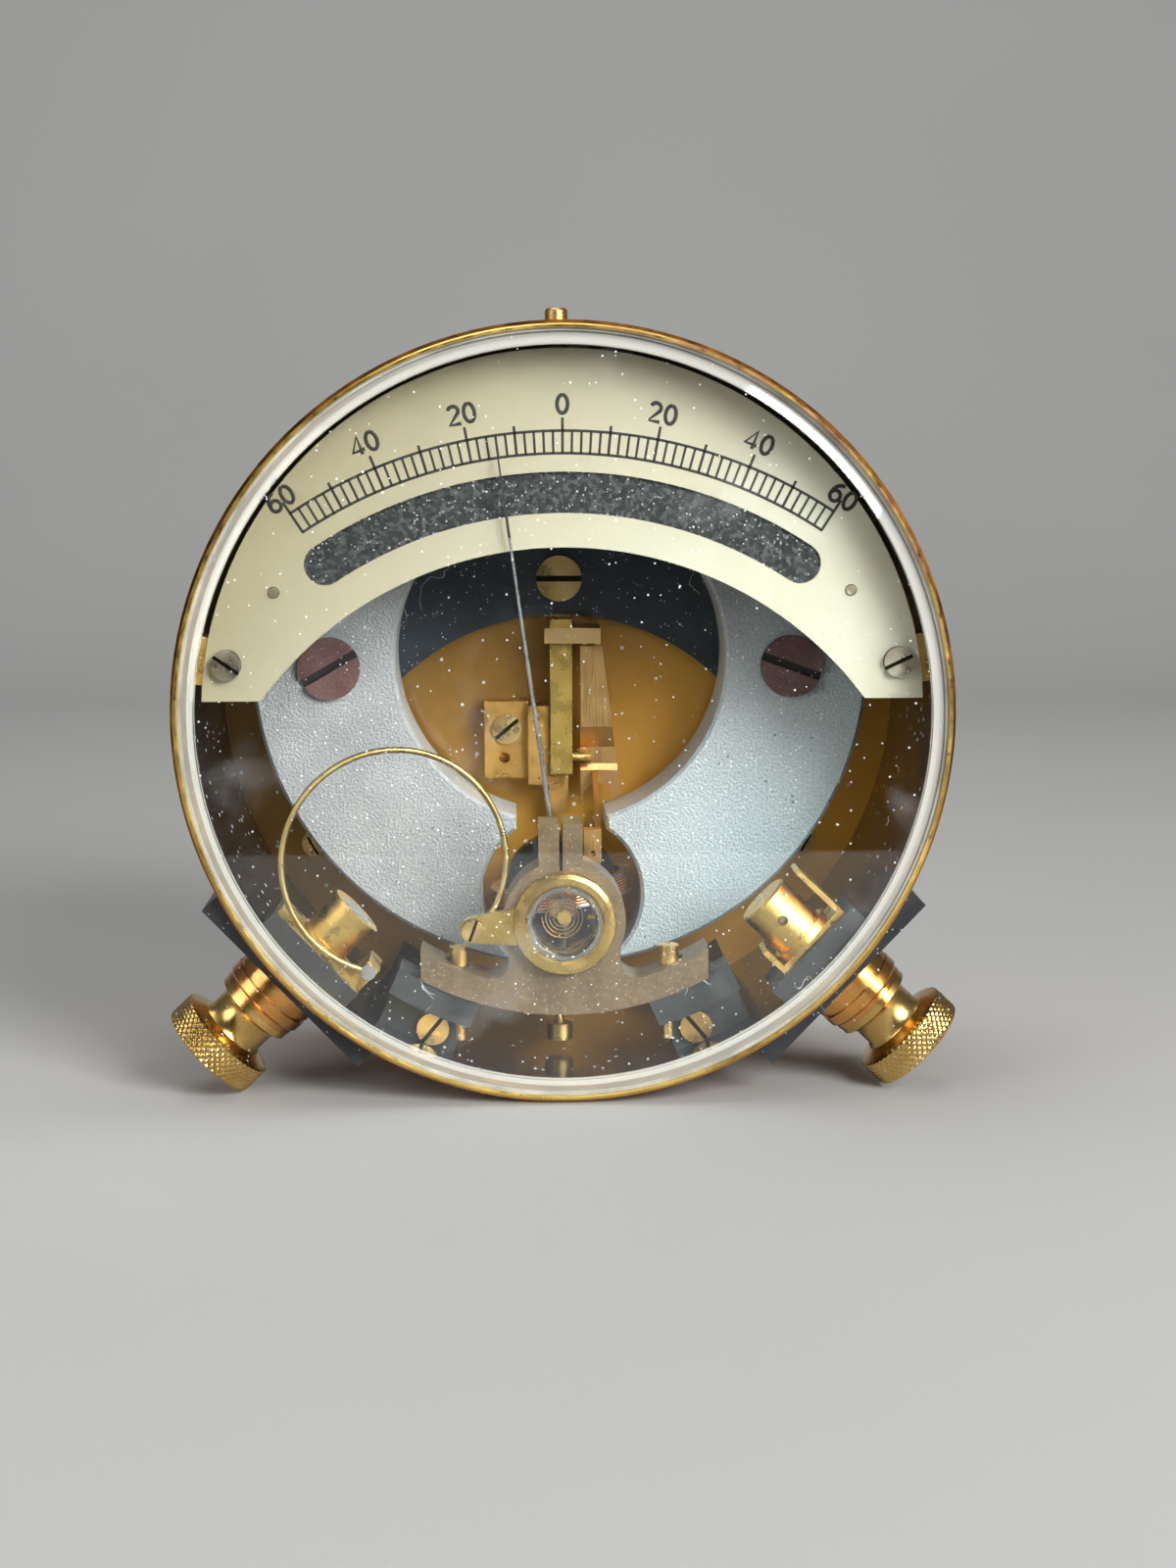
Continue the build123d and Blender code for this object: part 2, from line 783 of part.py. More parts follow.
def foot_block(inner_reach, outer_reach, width, front_depth, back_depth):
    """Two blocks between two radii of the case, one on each side of its foot."""
    with BuildPart(mode=Mode.PRIVATE) as blocks:
        for side in (1, -1):
            with BuildSketch(facing(front_depth)):
                Circle(outer_reach)
                Circle(inner_reach, mode=Mode.SUBTRACT)
                with Locations(Rot(0, 0, side * support_angle) * Pos(0, -inner_reach)):
                    Rectangle(width, outer_reach, mode=Mode.INTERSECT)
            extrude(amount=front_depth - back_depth)
    return blocks.part


with BuildPart() as bridge_pads:
    add(
        foot_block(
            bridge_foot_outer_reach,
            pad_reach,
            support_pad_width,
            support_pad_depth,
            support_pad_depth + support_pad_length,
        )
    )
    with BuildSketch(level(0)):
        for side in (1, -1):
            with Locations((side * bridge_screw_x, bridge_screw_depth)):
                Circle(bridge_screw_radius)
    extrude(amount=bridge_screw_seat_height, mode=Mode.SUBTRACT)
finish(bridge_pads, "bridge_pads")

with BuildPart() as bridge_pillars:
    add(foot_block(pad_reach, case_bore_radius, pillar_width, pillar_depth, case_floor_depth))
    for side in (1, -1):
        with BuildSketch(facing(pillar_depth)):
            with Locations(Rot(0, 0, side * pillar_screw_angle) * Pos(0, -pillar_screw_reach)):
                Circle(pillar_screw_radius)
        extrude(amount=-case_depth, mode=Mode.SUBTRACT)
        with BuildSketch(level(0)):
            with Locations((side * bridge_screw_x, bridge_screw_depth)):
                Circle(bridge_screw_radius)
        extrude(amount=bridge_screw_seat_height, mode=Mode.SUBTRACT)
finish(bridge_pillars, "bridge_pillars")

with BuildPart() as bridge_screws:
    for side in (1, -1):
        top = Vector(side * bridge_screw_x, front_y + bridge_screw_depth, bridge_screw_seat_height)
        add(
            slotted_screw(
                Plane(origin=top, x_dir=(1, 0, 0), z_dir=(0, 0, 1)),
                bridge_screw_head_radius,
                bridge_screw_head_height,
                bridge_screw_radius,
                bridge_screw_seat_height - 7.0,
                15.0 * side,
            )
        )
finish(bridge_screws, "bridge_screws")

with BuildPart() as pillar_screws:
    for side in (1, -1):
        turn = radians(pillar_screw_angle)
        x = side * pillar_screw_reach * sin(turn)
        height = case_axis_height - pillar_screw_reach * cos(turn)
        add(
            slotted_screw(
                facing(pillar_depth, height, x),
                pillar_screw_head_radius,
                pillar_screw_head_height,
                pillar_screw_radius,
                case_floor_depth - pillar_depth,
                -50.0 * side,
            )
        )
finish(pillar_screws, "pillar_screws")

# Core: an iron ball on a stem, with the jewel of the single pivot at its centre
core_centre = Vector(0, front_y + coil_depth, pivot_height)
with BuildPart() as iron_core:
    with BuildSketch(turning(pivot_height)):
        with BuildLine():
            ball = CenterArc((0, coil_depth), core_radius, -90, 180)
            Line(ball @ 0, ball @ 1)
        make_face()
    revolve(axis=front_to_back(pivot_height))
    with BuildSketch(level(core_arm_top_height - core_stem_seat)):
        with Locations((0, coil_depth)):
            Circle(core_stem_radius)
    extrude(amount=pivot_height - core_arm_top_height - core_radius / 2)
    with BuildSketch(facing(coil_front_depth, pivot_height)):
        Circle(core_bore_radius)
    extrude(amount=-coil_outer_radius, mode=Mode.SUBTRACT)
    with BuildSketch(facing(coil_depth, pivot_height)):
        Circle(jewel_radius)
    extrude(amount=-jewel_length, mode=Mode.SUBTRACT)
finish(iron_core, "iron_core")

with BuildPart() as core_jewel:
    with BuildSketch(facing(coil_depth, pivot_height)):
        Circle(jewel_radius)
    extrude(amount=-jewel_length)
finish(core_jewel, "core_jewel")

with BuildPart() as core_bracket:
    with BuildSketch(side_view(0)):
        with BuildLine():
            foot_height = core_arm_top_height - core_arm_height
            Polyline(
                (bridge_back_depth, foot_height),
                (core_arm_back_depth, foot_height),
                (core_arm_back_depth, core_arm_top_height),
                (bridge_back_depth, core_arm_top_height),
                close=True,
            )
        make_face()
    extrude(amount=core_arm_half_width, both=True)
    with BuildSketch(facing(bridge_back_depth, foot_height)):
        face_height = case_axis_height - bridge_foot_inner_reach - foot_height
        with Locations((0, face_height / 2)):
            Rectangle(2 * core_arm_face_half_width, face_height)
    extrude(amount=-core_arm_face_thickness)
    with BuildSketch(level(core_arm_top_height - core_stem_seat)):
        with Locations((0, coil_depth)):
            Circle(core_stem_radius)
    extrude(amount=core_arm_height, mode=Mode.SUBTRACT)
    with BuildSketch(level(foot_height)):
        with Locations((core_screw_x, core_screw_depth)):
            Circle(core_screw_radius)
    extrude(amount=core_screw_bite, mode=Mode.SUBTRACT)
finish(core_bracket, "core_bracket")

with BuildPart() as core_screw:
    head_top = Vector(core_screw_x, front_y + core_screw_depth, foot_height - core_screw_stand_off)
    add(
        slotted_screw(
            Plane(origin=head_top, x_dir=(1, 0, 0), z_dir=(0, 0, -1)),
            core_screw_head_radius,
            core_screw_head_height,
            core_screw_radius,
            core_screw_stand_off + core_screw_bite,
            0.0,
        )
    )
finish(core_screw, "core_screw")

# Moving coil: former and winding on one ring, turned with the pointer
pointer_up = (at_pivot(1, 0) - at_pivot(0, 0)).normalized()
coil_plane = Plane(origin=core_centre, x_dir=(0, 1, 0), z_dir=Vector(0, 1, 0).cross(pointer_up))
coil_axis = Axis(core_centre, pointer_up)
half_width = coil_width / 2
winding_foot = coil_inner_radius + coil_former_wall
winding_top = coil_outer_radius - coil_winding_recess
winding_half = half_width - coil_flange
with BuildPart() as coil_former:
    add(
        turned(
            coil_plane,
            coil_axis,
            (
                (coil_inner_radius, -half_width),
                (coil_outer_radius, -half_width),
                (coil_outer_radius, -winding_half),
                (winding_foot, -winding_half),
                (winding_foot, winding_half),
                (coil_outer_radius, winding_half),
                (coil_outer_radius, half_width),
                (coil_inner_radius, half_width),
            ),
        )
    )
    with BuildSketch(facing(0, pivot_height)):
        Circle(needle_radius)
    extrude(amount=-coil_depth, mode=Mode.SUBTRACT)
finish(coil_former, "coil_former")

with BuildPart() as coil_winding:
    add(
        turned(
            coil_plane,
            coil_axis,
            (
                (winding_foot, -winding_half),
                (winding_top, -winding_half),
                (winding_top, winding_half),
                (winding_foot, winding_half),
            ),
        )
    )
    with BuildSketch(facing(0, pivot_height)):
        Circle(staff_boss_radius)
    extrude(amount=-coil_depth, mode=Mode.SUBTRACT)
finish(coil_winding, "coil_winding")

staff_end_depth = coil_front_depth + coil_radial_build - coil_former_wall
with BuildPart() as coil_staff:
    add(
        turned(
            turning(pivot_height),
            front_to_back(pivot_height),
            (
                (0, staff_front_depth),
                (staff_radius, staff_front_depth),
                (staff_radius, staff_collar_depth),
                (staff_collar_radius, staff_collar_depth),
                (staff_collar_radius, staff_collar_depth + staff_collar_thickness),
                (staff_radius, staff_collar_depth + staff_collar_thickness),
                (staff_radius, coil_front_depth - staff_boss_length),
                (staff_boss_radius, coil_front_depth - staff_boss_length / 2),
                (staff_boss_radius, staff_end_depth - stand_off),
                (needle_radius, staff_end_depth - stand_off),
                (needle_radius, coil_front_depth - needle_socket),
                (0, coil_front_depth - needle_socket),
            ),
        )
    )
finish(coil_staff, "coil_staff")

with BuildPart() as pivot_needle:
    point_depth = coil_depth - running_clearance
    add(
        turned(
            turning(pivot_height),
            front_to_back(pivot_height),
            (
                (0, coil_front_depth - needle_socket),
                (needle_radius, coil_front_depth - needle_socket),
                (needle_radius, point_depth - needle_point_length),
                (0, point_depth),
            ),
        )
    )
finish(pivot_needle, "pivot_needle")

with BuildPart() as pointer:
    with BuildSketch(facing(pointer_hub_depth, pivot_height)):
        Circle(pointer_hub_radius)
        Circle(staff_radius, mode=Mode.SUBTRACT)
    extrude(amount=-pointer_hub_length)
    hub_depth = pointer_hub_depth + pointer_hub_length / 2
    elbow = at_pivot(pointer_elbow_reach, pointer_elbow_depth)
    shoulder = at_pivot(pointer_shoulder_reach, pointer_shoulder_depth)
    root = at_pivot((staff_radius + pointer_hub_radius) / 2, hub_depth)
    add(rod(root, elbow, pointer_root_radius, pointer_root_radius))
    add(rod(elbow, shoulder, pointer_root_radius, pointer_shoulder_radius))
    with Locations(elbow):
        Sphere(pointer_root_radius + running_clearance / 2)
    weight_foot = at_pivot(-counterweight_reach + counterweight_length / 2, hub_depth)
    weight_root = at_pivot(-(staff_radius + pointer_hub_radius) / 2, hub_depth)
    add(rod(weight_root, weight_foot, counterweight_arm_radius, counterweight_arm_radius))
finish(pointer, "pointer")

with BuildPart() as pointer_tip:
    tip_plane = Plane(origin=shoulder, x_dir=(pointer_up.Z, 0, -pointer_up.X), z_dir=(0, -1, 0))
    tip_length = pointer_tip_reach - pointer_shoulder_reach
    with BuildSketch(tip_plane):
        with BuildLine():
            Polyline(
                (-pointer_tip_width / 2, 0),
                (pointer_tip_width / 2, 0),
                (pointer_tip_end_width / 2, tip_length),
                (-pointer_tip_end_width / 2, tip_length),
                close=True,
            )
        make_face()
    extrude(amount=pointer_tip_thickness / 2, both=True)
    add(pointer.part, mode=Mode.SUBTRACT)
finish(pointer_tip, "pointer_tip")

with BuildPart() as counterweight:
    weight_end = at_pivot(-counterweight_reach - counterweight_length / 2, hub_depth)
    add(rod(weight_foot, weight_end, counterweight_radius, counterweight_radius))
finish(counterweight, "counterweight")

# Hairspring: half circles that grow by the same step, from the collet to a stud of the zero ring
with BuildPart() as spring_collet:
    with BuildSketch(facing(hairspring_depth - (collet_length - hairspring_height) / 2, pivot_height)):
        Circle(collet_radius)
        Circle(staff_radius, mode=Mode.SUBTRACT)
    extrude(amount=-collet_length)
finish(spring_collet, "spring_collet")

with BuildPart() as hairspring:
    with BuildSketch(facing(hairspring_depth, pivot_height)):
        for half_turn in range(2 * hairspring_turns):
            radius = collet_radius + hairspring_strip / 2 + half_turn * hairspring_pitch / 2
            x = (half_turn % 2) * hairspring_pitch / 2
            with BuildLine():
                start = 180 * (half_turn % 2)
                low = CenterArc((-x, 0), radius - hairspring_strip / 2, start, 180)
                high = CenterArc((-x, 0), radius + hairspring_strip / 2, start, 180)
                Line(low @ 0, high @ 0)
                Line(low @ 1, high @ 1)
            make_face()
    extrude(amount=-hairspring_height)
finish(hairspring, "hairspring")

# Zero-setting ring: a rounded ring with a spigot that turns in the bridge, and an arm to the left
with BuildPart() as zero_ring:
    add(
        turned(
            turning(pivot_height),
            front_to_back(pivot_height),
            (
                (zero_ring_inner_radius, zero_ring_depth + zero_ring_rounding / 2),
                (zero_ring_inner_radius + zero_ring_rounding / 2, zero_ring_depth),
                (zero_ring_radius - zero_ring_rounding, zero_ring_depth),
                (zero_ring_radius - 0.25 * zero_ring_rounding, zero_ring_depth + 0.25 * zero_ring_rounding),
                (zero_ring_radius, zero_ring_depth + zero_ring_rounding),
                (zero_ring_radius, zero_ring_back_depth),
                (zero_spigot_radius, zero_ring_back_depth),
                (zero_spigot_radius, zero_spigot_end_depth),
                (zero_spigot_inner_radius, zero_spigot_end_depth),
                (zero_spigot_inner_radius, zero_seat_depth),
                (zero_ring_inner_radius, zero_seat_depth),
            ),
        )
    )
    arm_plane = facing(zero_ring_back_depth - zero_arm_thickness, pivot_height)
    arm_end = Vector(cos(radians(zero_arm_angle)), sin(radians(zero_arm_angle))) * zero_arm_reach
    with BuildSketch(arm_plane):
        with Locations(Rot(0, 0, zero_arm_angle)):
            Polygon(
                (zero_spigot_radius, zero_arm_root_half_width),
                (zero_spigot_radius, -zero_arm_root_half_width),
                (zero_arm_reach, -zero_arm_end_radius),
                (zero_arm_reach, zero_arm_end_radius),
                align=None,
            )
        with Locations(Rot(0, 0, zero_arm_angle) * Pos(zero_arm_reach, 0)):
            Circle(zero_arm_end_radius)
        with Locations(Rot(0, 0, zero_arm_angle) * Pos(zero_arm_reach, 0)):
            Circle(arm_screw_radius, mode=Mode.SUBTRACT)
    extrude(amount=-zero_arm_thickness)
    stud_reach = (hairspring_outer_radius + zero_spigot_radius) / 2
    with BuildSketch(Plane(origin=at_pivot(0, hairspring_depth + hairspring_height / 2, 0), z_dir=(1, 0, 0))):
        Circle(zero_stud_radius)
    extrude(amount=(zero_spigot_inner_radius + zero_spigot_radius) / 2)
    with BuildSketch(facing(zero_seat_depth, pivot_height)):
        Circle(hairspring_outer_radius + 2 * hairspring_strip)
    extrude(amount=-case_depth / 4, mode=Mode.SUBTRACT)
finish(zero_ring, "zero_ring")

with BuildPart() as lens_rim:
    lens_back_depth = zero_seat_depth - lens_seat_lip
    add(
        turned(
            turning(pivot_height),
            front_to_back(pivot_height),
            (
                (lens_radius, lens_rim_depth),
                (lens_rim_radius, lens_rim_depth),
                (lens_rim_radius, zero_seat_depth),
                (lens_radius - lens_seat_lip, zero_seat_depth),
                (lens_radius - lens_seat_lip, lens_back_depth),
                (lens_radius, lens_back_depth),
            ),
        )
    )
finish(lens_rim, "lens_rim")

with BuildPart() as zero_lens:
    with BuildSketch(facing(lens_back_depth, pivot_height)):
        Circle(lens_radius)
    extrude(amount=lens_thickness)
    chamfer(zero_lens.faces().sort_by(Axis.Y)[0].edges(), lens_thickness / 3)
finish(zero_lens, "zero_lens")

with BuildPart() as arm_screw:
    arm_front_depth = zero_ring_back_depth - zero_arm_thickness
    add(
        slotted_screw(
            facing(arm_front_depth, pivot_height + arm_end.Y, arm_end.X),
            arm_screw_head_radius,
            arm_screw_head_height,
            arm_screw_radius,
            zero_arm_thickness,
            70.0,
        )
    )
finish(arm_screw, "arm_screw")

# Lead wire: a held loop that leans forward to pass over the spool, from the ring's arm to a post
with BuildPart() as lead_wire:
    lean = radians(lead_wire_lean)
    wire_origin = Vector(arm_end.X, front_y + zero_ring_back_depth + lead_wire_radius, 0)
    wire_plane = Plane(origin=wire_origin, x_dir=(cos(lean), sin(lean), 0), z_dir=(sin(lean), -cos(lean), 0))
    loop_x = lead_loop_x - arm_end.X
    root_turn = radians(lead_loop_start_angle)
    root_x = loop_x + (lead_loop_radius - lead_root_radius) * cos(root_turn)
    root_height = lead_loop_height + (lead_loop_radius - lead_root_radius) * sin(root_turn)
    with BuildLine(wire_plane) as lead_path:
        root_start = lead_loop_start_angle - lead_root_turn
        CenterArc((root_x, root_height), lead_root_radius, root_start, lead_root_turn)
        loop_sweep = lead_loop_end_angle - lead_loop_start_angle
        CenterArc((loop_x, lead_loop_height), lead_loop_radius, lead_loop_start_angle, loop_sweep)
    with BuildSketch(Plane(origin=lead_path.line @ 0, z_dir=lead_path.line % 0)):
        Circle(lead_wire_radius)
    sweep(path=lead_path.line)
finish(lead_wire, "lead_wire")

wire_end = lead_path.line @ 1
post_spot = wire_end + (lead_path.line % 1) * (lead_post_radius + running_clearance)
tag_front_depth = terminal_depth - tag_width / 2
with BuildPart() as lead_post:
    post_depth = post_spot.Y - front_y - 2 * lead_wire_radius
    with BuildSketch(facing(post_depth, post_spot.Z, post_spot.X)):
        Circle(lead_post_radius)
    extrude(amount=post_depth - tag_front_depth)
finish(lead_post, "lead_post")

# Transit clamp, fixed parts: the crosshead over the lever, the lever's pin and the slide's guide
lever_lug_left = (lever_top_left + lever_top_right - lever_lug_width) / 2
lever_lug_right = lever_lug_left + lever_lug_width
with BuildPart() as clamp_crosshead:
    crosshead_middle = crosshead_foot_height + crosshead_height / 2
    with BuildSketch(facing(crosshead_depth, crosshead_middle)):
        with Locations(((crosshead_left + crosshead_right) / 2, 0)):
            Rectangle(crosshead_right - crosshead_left, crosshead_height)
    extrude(amount=-crosshead_thickness)
    with BuildSketch(facing(crosshead_depth, crosshead_middle)):
        with Locations(((crosshead_leg_left + crosshead_right) / 2, 0)):
            Rectangle(crosshead_right - crosshead_leg_left, crosshead_height)
    extrude(amount=crosshead_depth - case_floor_depth)
    cheek_span = crosshead_foot_height - lever_pin_height + lever_cheek_half_depth
    for cheek_left in (
        lever_lug_left - running_clearance - lever_cheek_width,
        lever_lug_right + running_clearance,
    ):
        with BuildSketch(side_view(cheek_left)):
            with Locations((lever_pin_depth, crosshead_foot_height - cheek_span / 2)):
                Rectangle(2 * lever_cheek_half_depth, cheek_span)
            with Locations((lever_pin_depth, lever_pin_height)):
                Circle(lever_pin_radius, mode=Mode.SUBTRACT)
        extrude(amount=lever_cheek_width)
finish(clamp_crosshead, "clamp_crosshead")

with BuildPart() as lever_pin:
    with BuildSketch(side_view(lever_lug_left - running_clearance - lever_cheek_width)):
        with Locations((lever_pin_depth, lever_pin_height)):
            Circle(lever_pin_radius)
    extrude(amount=lever_lug_width + 2 * (running_clearance + lever_cheek_width))
finish(lever_pin, "lever_pin")


def upright(front_depth, back_depth, left, right, foot_height, top_height):
    """Rectangular bar between two depths."""
    with BuildPart(mode=Mode.PRIVATE) as bar:
        with BuildSketch(facing(front_depth, 0)):
            with Locations(((left + right) / 2, (foot_height + top_height) / 2)):
                Rectangle(right - left, top_height - foot_height)
        extrude(amount=front_depth - back_depth)
    return bar.part


with BuildPart() as guide_block:
    add(
        upright(
            guide_block_depth,
            case_floor_depth,
            guide_block_left,
            guide_block_right,
            guide_block_foot_height,
            guide_block_top_height,
        )
    )
    add(
        upright(
            guide_rib_depth,
            case_floor_depth,
            guide_block_right,
            guide_rib_right,
            guide_rib_foot_height,
            guide_rib_top_height,
        )
    )
    add(
        upright(
            guide_tongue_depth,
            guide_tongue_depth + guide_tongue_thickness,
            guide_rib_right,
            guide_tongue_right,
            guide_tongue_foot_height,
            guide_tongue_top_height,
        )
    )
    with BuildSketch(facing(guide_block_depth, guide_screw_height, guide_screw_x)):
        Circle(guide_screw_radius)
    extrude(amount=guide_block_depth - case_depth, mode=Mode.SUBTRACT)
    with BuildSketch(facing(guide_block_depth, guide_hole_height, guide_hole_x)):
        Circle(guide_hole_radius)
    extrude(amount=-guide_hole_length, mode=Mode.SUBTRACT)
finish(guide_block, "guide_block")

with BuildPart() as guide_screw:
    add(
        slotted_screw(
            facing(guide_block_depth, guide_screw_height, guide_screw_x),
            guide_screw_head_radius,
            guide_screw_head_height,
            guide_screw_radius,
            case_floor_depth - guide_block_depth,
            40.0,
        )
    )
finish(guide_screw, "guide_screw")

# Transit clamp, slide: knob, slotted strip behind the backing plate, bar below it and cam pin
with BuildPart() as clamp_knob:
    with BuildSketch(level(knob_foot_height)):
        with Locations((knob_x, knob_depth)):
            Circle(knob_radius)
    extrude(amount=knob_top_height - knob_foot_height)
    fillet(clamp_knob.faces().sort_by(Axis.Z)[-1].edges(), knob_rounding)
finish(clamp_knob, "clamp_knob")

with BuildPart() as clamp_slide:
    strip_back_depth = slide_strip_depth + slide_strip_thickness
    add(
        upright(
            slide_strip_depth,
            strip_back_depth,
            knob_x - slide_strip_half_width,
            knob_x + slide_strip_half_width,
            slide_strip_shoulder_height,
            knob_foot_height,
        )
    )
    add(
        upright(
            slide_strip_depth,
            strip_back_depth,
            slide_bar_left,
            slide_bar_right,
            slide_link_foot_height,
            slide_strip_shoulder_height,
        )
    )
    add(
        upright(
            slide_bar_depth,
            strip_back_depth,
            slide_bar_left,
            slide_bar_right,
            slide_link_foot_height,
            slide_bar_top_height,
        )
    )
    add(
        upright(
            slide_bar_depth,
            slide_bar_depth + slide_bar_thickness,
            slide_bar_left,
            slide_bar_right,
            slide_bar_foot_height,
            slide_bar_top_height,
        )
    )
    with BuildSketch(facing(slide_strip_depth, 0)):
        with Locations((0, (slide_slot_foot_height + slide_slot_top_height) / 2)):
            Rectangle(slide_slot_width, slide_slot_top_height - slide_slot_foot_height)
    extrude(amount=-case_wall, mode=Mode.SUBTRACT)
finish(clamp_slide, "clamp_slide")

with BuildPart() as cam_pin:
    with BuildSketch(side_view(slide_bar_right)):
        with Locations((lever_hollow_depth - stand_off - cam_pin_radius, cam_pin_height)):
            Circle(cam_pin_radius)
    extrude(amount=cam_pin_length)
    with BuildSketch(side_view(slide_bar_right + cam_pin_length)):
        with Locations((lever_hollow_depth - stand_off - cam_pin_radius, cam_pin_height)):
            Rectangle(3 * cam_pin_radius, cam_pin_slot_width)
    extrude(amount=-cam_pin_radius, mode=Mode.SUBTRACT)
finish(cam_pin, "cam_pin")

# Transit clamp, lever: a bent strip whose hollow the cam pin leaves, with a finger to the coil's staff
with BuildPart() as clamp_lever:
    with BuildSketch(side_view(lever_top_left)):
        with BuildLine():
            front = (
                (lever_depth, lever_top_height),
                (lever_depth, lever_bend_height),
                (lever_hollow_depth, lever_hollow_top_height),
                (lever_hollow_depth, lever_hollow_foot_height),
                (lever_ramp_depth, lever_ramp_foot_height),
                (lever_ramp_depth, lever_foot_height),
            )
            back = [(depth + lever_thickness, height) for depth, height in reversed(front)]
            Polyline(*front, *back, close=True)
        make_face()
    extrude(amount=lever_foot_right - lever_top_left)
    with BuildSketch(facing(lever_depth, 0)):
        with BuildLine():
            Polyline(
                (lever_top_left, lever_top_height),
                (lever_top_right, lever_top_height),
                (lever_foot_right, lever_foot_height),
                (lever_top_left, lever_foot_height),
                close=True,
            )
        make_face()
        with Locations((0, magnet_opening_height)):
            Circle(magnet_opening_radius - lever_rim_gap, mode=Mode.INTERSECT)
        with Locations((lever_arch_x, lever_arch_height)):
            Circle(lever_arch_radius, mode=Mode.SUBTRACT)
        with Locations((lever_arch_x, lever_arch_height - lever_arch_radius)):
            Rectangle(2 * lever_arch_radius, 2 * lever_arch_radius, mode=Mode.SUBTRACT)
    extrude(amount=-case_depth, mode=Mode.INTERSECT)
    with BuildSketch(side_view(lever_lug_left)):
        with BuildLine():
            Polyline(
                (lever_depth + lever_thickness, lever_pin_height + lever_lug_radius),
                (lever_pin_depth, lever_pin_height + lever_lug_radius),
                (lever_pin_depth, lever_pin_height - lever_lug_radius),
                (lever_depth + lever_thickness, lever_pin_height - lever_lug_radius),
                close=True,
            )
        make_face()
        with Locations((lever_pin_depth, lever_pin_height)):
            Circle(lever_lug_radius)
            Circle(lever_pin_radius + running_clearance, mode=Mode.SUBTRACT)
    extrude(amount=lever_lug_width)
    arm_root_height = lever_arch_height + lever_arch_radius
    with BuildSketch(side_view(finger_arm_left)):
        with BuildLine():
            Polyline(
                (lever_ramp_depth, arm_root_height + 0.2),
                (lever_ramp_depth, lever_ramp_foot_height),
                (finger_depth + finger_block_length, finger_block_top_height),
                (finger_depth, finger_block_top_height),
                (finger_depth, finger_block_foot_height),
                (finger_depth + finger_block_length, finger_block_foot_height),
                close=True,
            )
        make_face()
    extrude(amount=finger_arm_right - finger_arm_left)
    add(
        upright(
            finger_depth,
            finger_depth + finger_block_length,
            finger_block_left,
            finger_arm_right,
            finger_block_foot_height,
            finger_block_top_height,
        )
    )
    with BuildSketch(facing(finger_depth, finger_block_bore_height, finger_block_bore_x)):
        Circle(finger_block_bore)
    extrude(amount=-finger_block_length, mode=Mode.SUBTRACT)
    with BuildSketch(facing(finger_depth, 0)):
        with BuildLine():
            Polyline(
                (finger_arm_right, finger_block_foot_height),
                (finger_block_left, finger_block_foot_height),
                (finger_block_left - finger_prong_width, finger_bow_height),
                (-finger_prong_gap - staff_radius - finger_prong_width, finger_bow_height),
                (-finger_prong_gap - staff_radius - finger_prong_width, finger_prong_foot_height),
                (-finger_prong_gap - staff_radius, finger_prong_foot_height),
                (-finger_prong_gap - staff_radius, finger_bow_height - finger_prong_width),
                (finger_prong_gap + staff_radius, finger_bow_height - finger_prong_width),
                (finger_prong_gap + staff_radius, finger_prong_foot_height),
                (finger_prong_gap + staff_radius + finger_prong_width, finger_prong_foot_height),
                (finger_prong_gap + staff_radius + finger_prong_width, finger_bow_height - finger_prong_width),
                (finger_block_left, finger_bow_height - finger_prong_width),
                close=True,
            )
        make_face()
    extrude(amount=-finger_plate_thickness)
finish(clamp_lever, "clamp_lever")

# Terminals: each has an insulating pad, a grooved collar, a stud, a captive washer and a clamping nut
with BuildPart() as terminal_pads:
    for side in (1, -1):
        with BuildSketch(terminal_front(side, terminal_depth - pad_width / 2)):
            with Locations((pad_face_reach / 2 + case_bore_radius / 2, 0)):
                Rectangle(pad_face_reach - case_bore_radius, pad_length)
        extrude(amount=-pad_width)
    with BuildSketch(facing(0)):
        Circle(case_radius)
    extrude(amount=-case_depth, mode=Mode.SUBTRACT)
    for side in (1, -1):
        out = terminal_out(side)
        with BuildSketch(Plane(origin=terminal_origin() + out * (case_bore_radius + stand_off), z_dir=out)):
            Circle(pad_bush_radius - running_clearance)
        extrude(amount=pad_face_reach - case_bore_radius - stand_off)
        with BuildSketch(Plane(origin=terminal_origin() + out * (case_bore_radius - 1), z_dir=out)):
            Circle(stud_radius)
        extrude(amount=case_wall * 3, mode=Mode.SUBTRACT)
finish(terminal_pads, "terminal_pads")

with BuildPart() as inner_blocks:
    for side in (1, -1):
        with BuildSketch(terminal_front(side, terminal_depth - inner_block_width / 2)):
            with Locations((inner_block_reach + case_wall, 0)):
                Rectangle(2 * case_wall, inner_block_length)
        extrude(amount=-inner_block_width)
    with BuildSketch(facing(0)):
        Circle(case_bore_radius)
    extrude(amount=-case_depth, mode=Mode.INTERSECT)
    for side in (1, -1):
        out = terminal_out(side)
        with BuildSketch(Plane(origin=terminal_origin() + out * (inner_block_reach - 1), z_dir=out)):
            Circle(stud_radius)
        extrude(amount=case_wall * 3, mode=Mode.SUBTRACT)
finish(inner_blocks, "inner_blocks")

with BuildPart() as terminal_collars:
    for side in (1, -1):
        middle = pad_face_reach + collar_length / 2
        add(
            turned(
                terminal_section(side),
                terminal_axis(side),
                (
                    (stud_radius, pad_face_reach),
                    (collar_radius, pad_face_reach),
                    (collar_radius, middle - collar_groove),
                    (collar_radius - collar_groove, middle - collar_groove),
                    (collar_radius - collar_groove, middle + collar_groove),
                    (collar_radius, middle + collar_groove),
                    (collar_radius, collar_face_reach - collar_groove),
                    (collar_radius - collar_groove, collar_face_reach),
                    (stud_radius, collar_face_reach),
                ),
            )
        )
finish(terminal_collars, "terminal_collars")

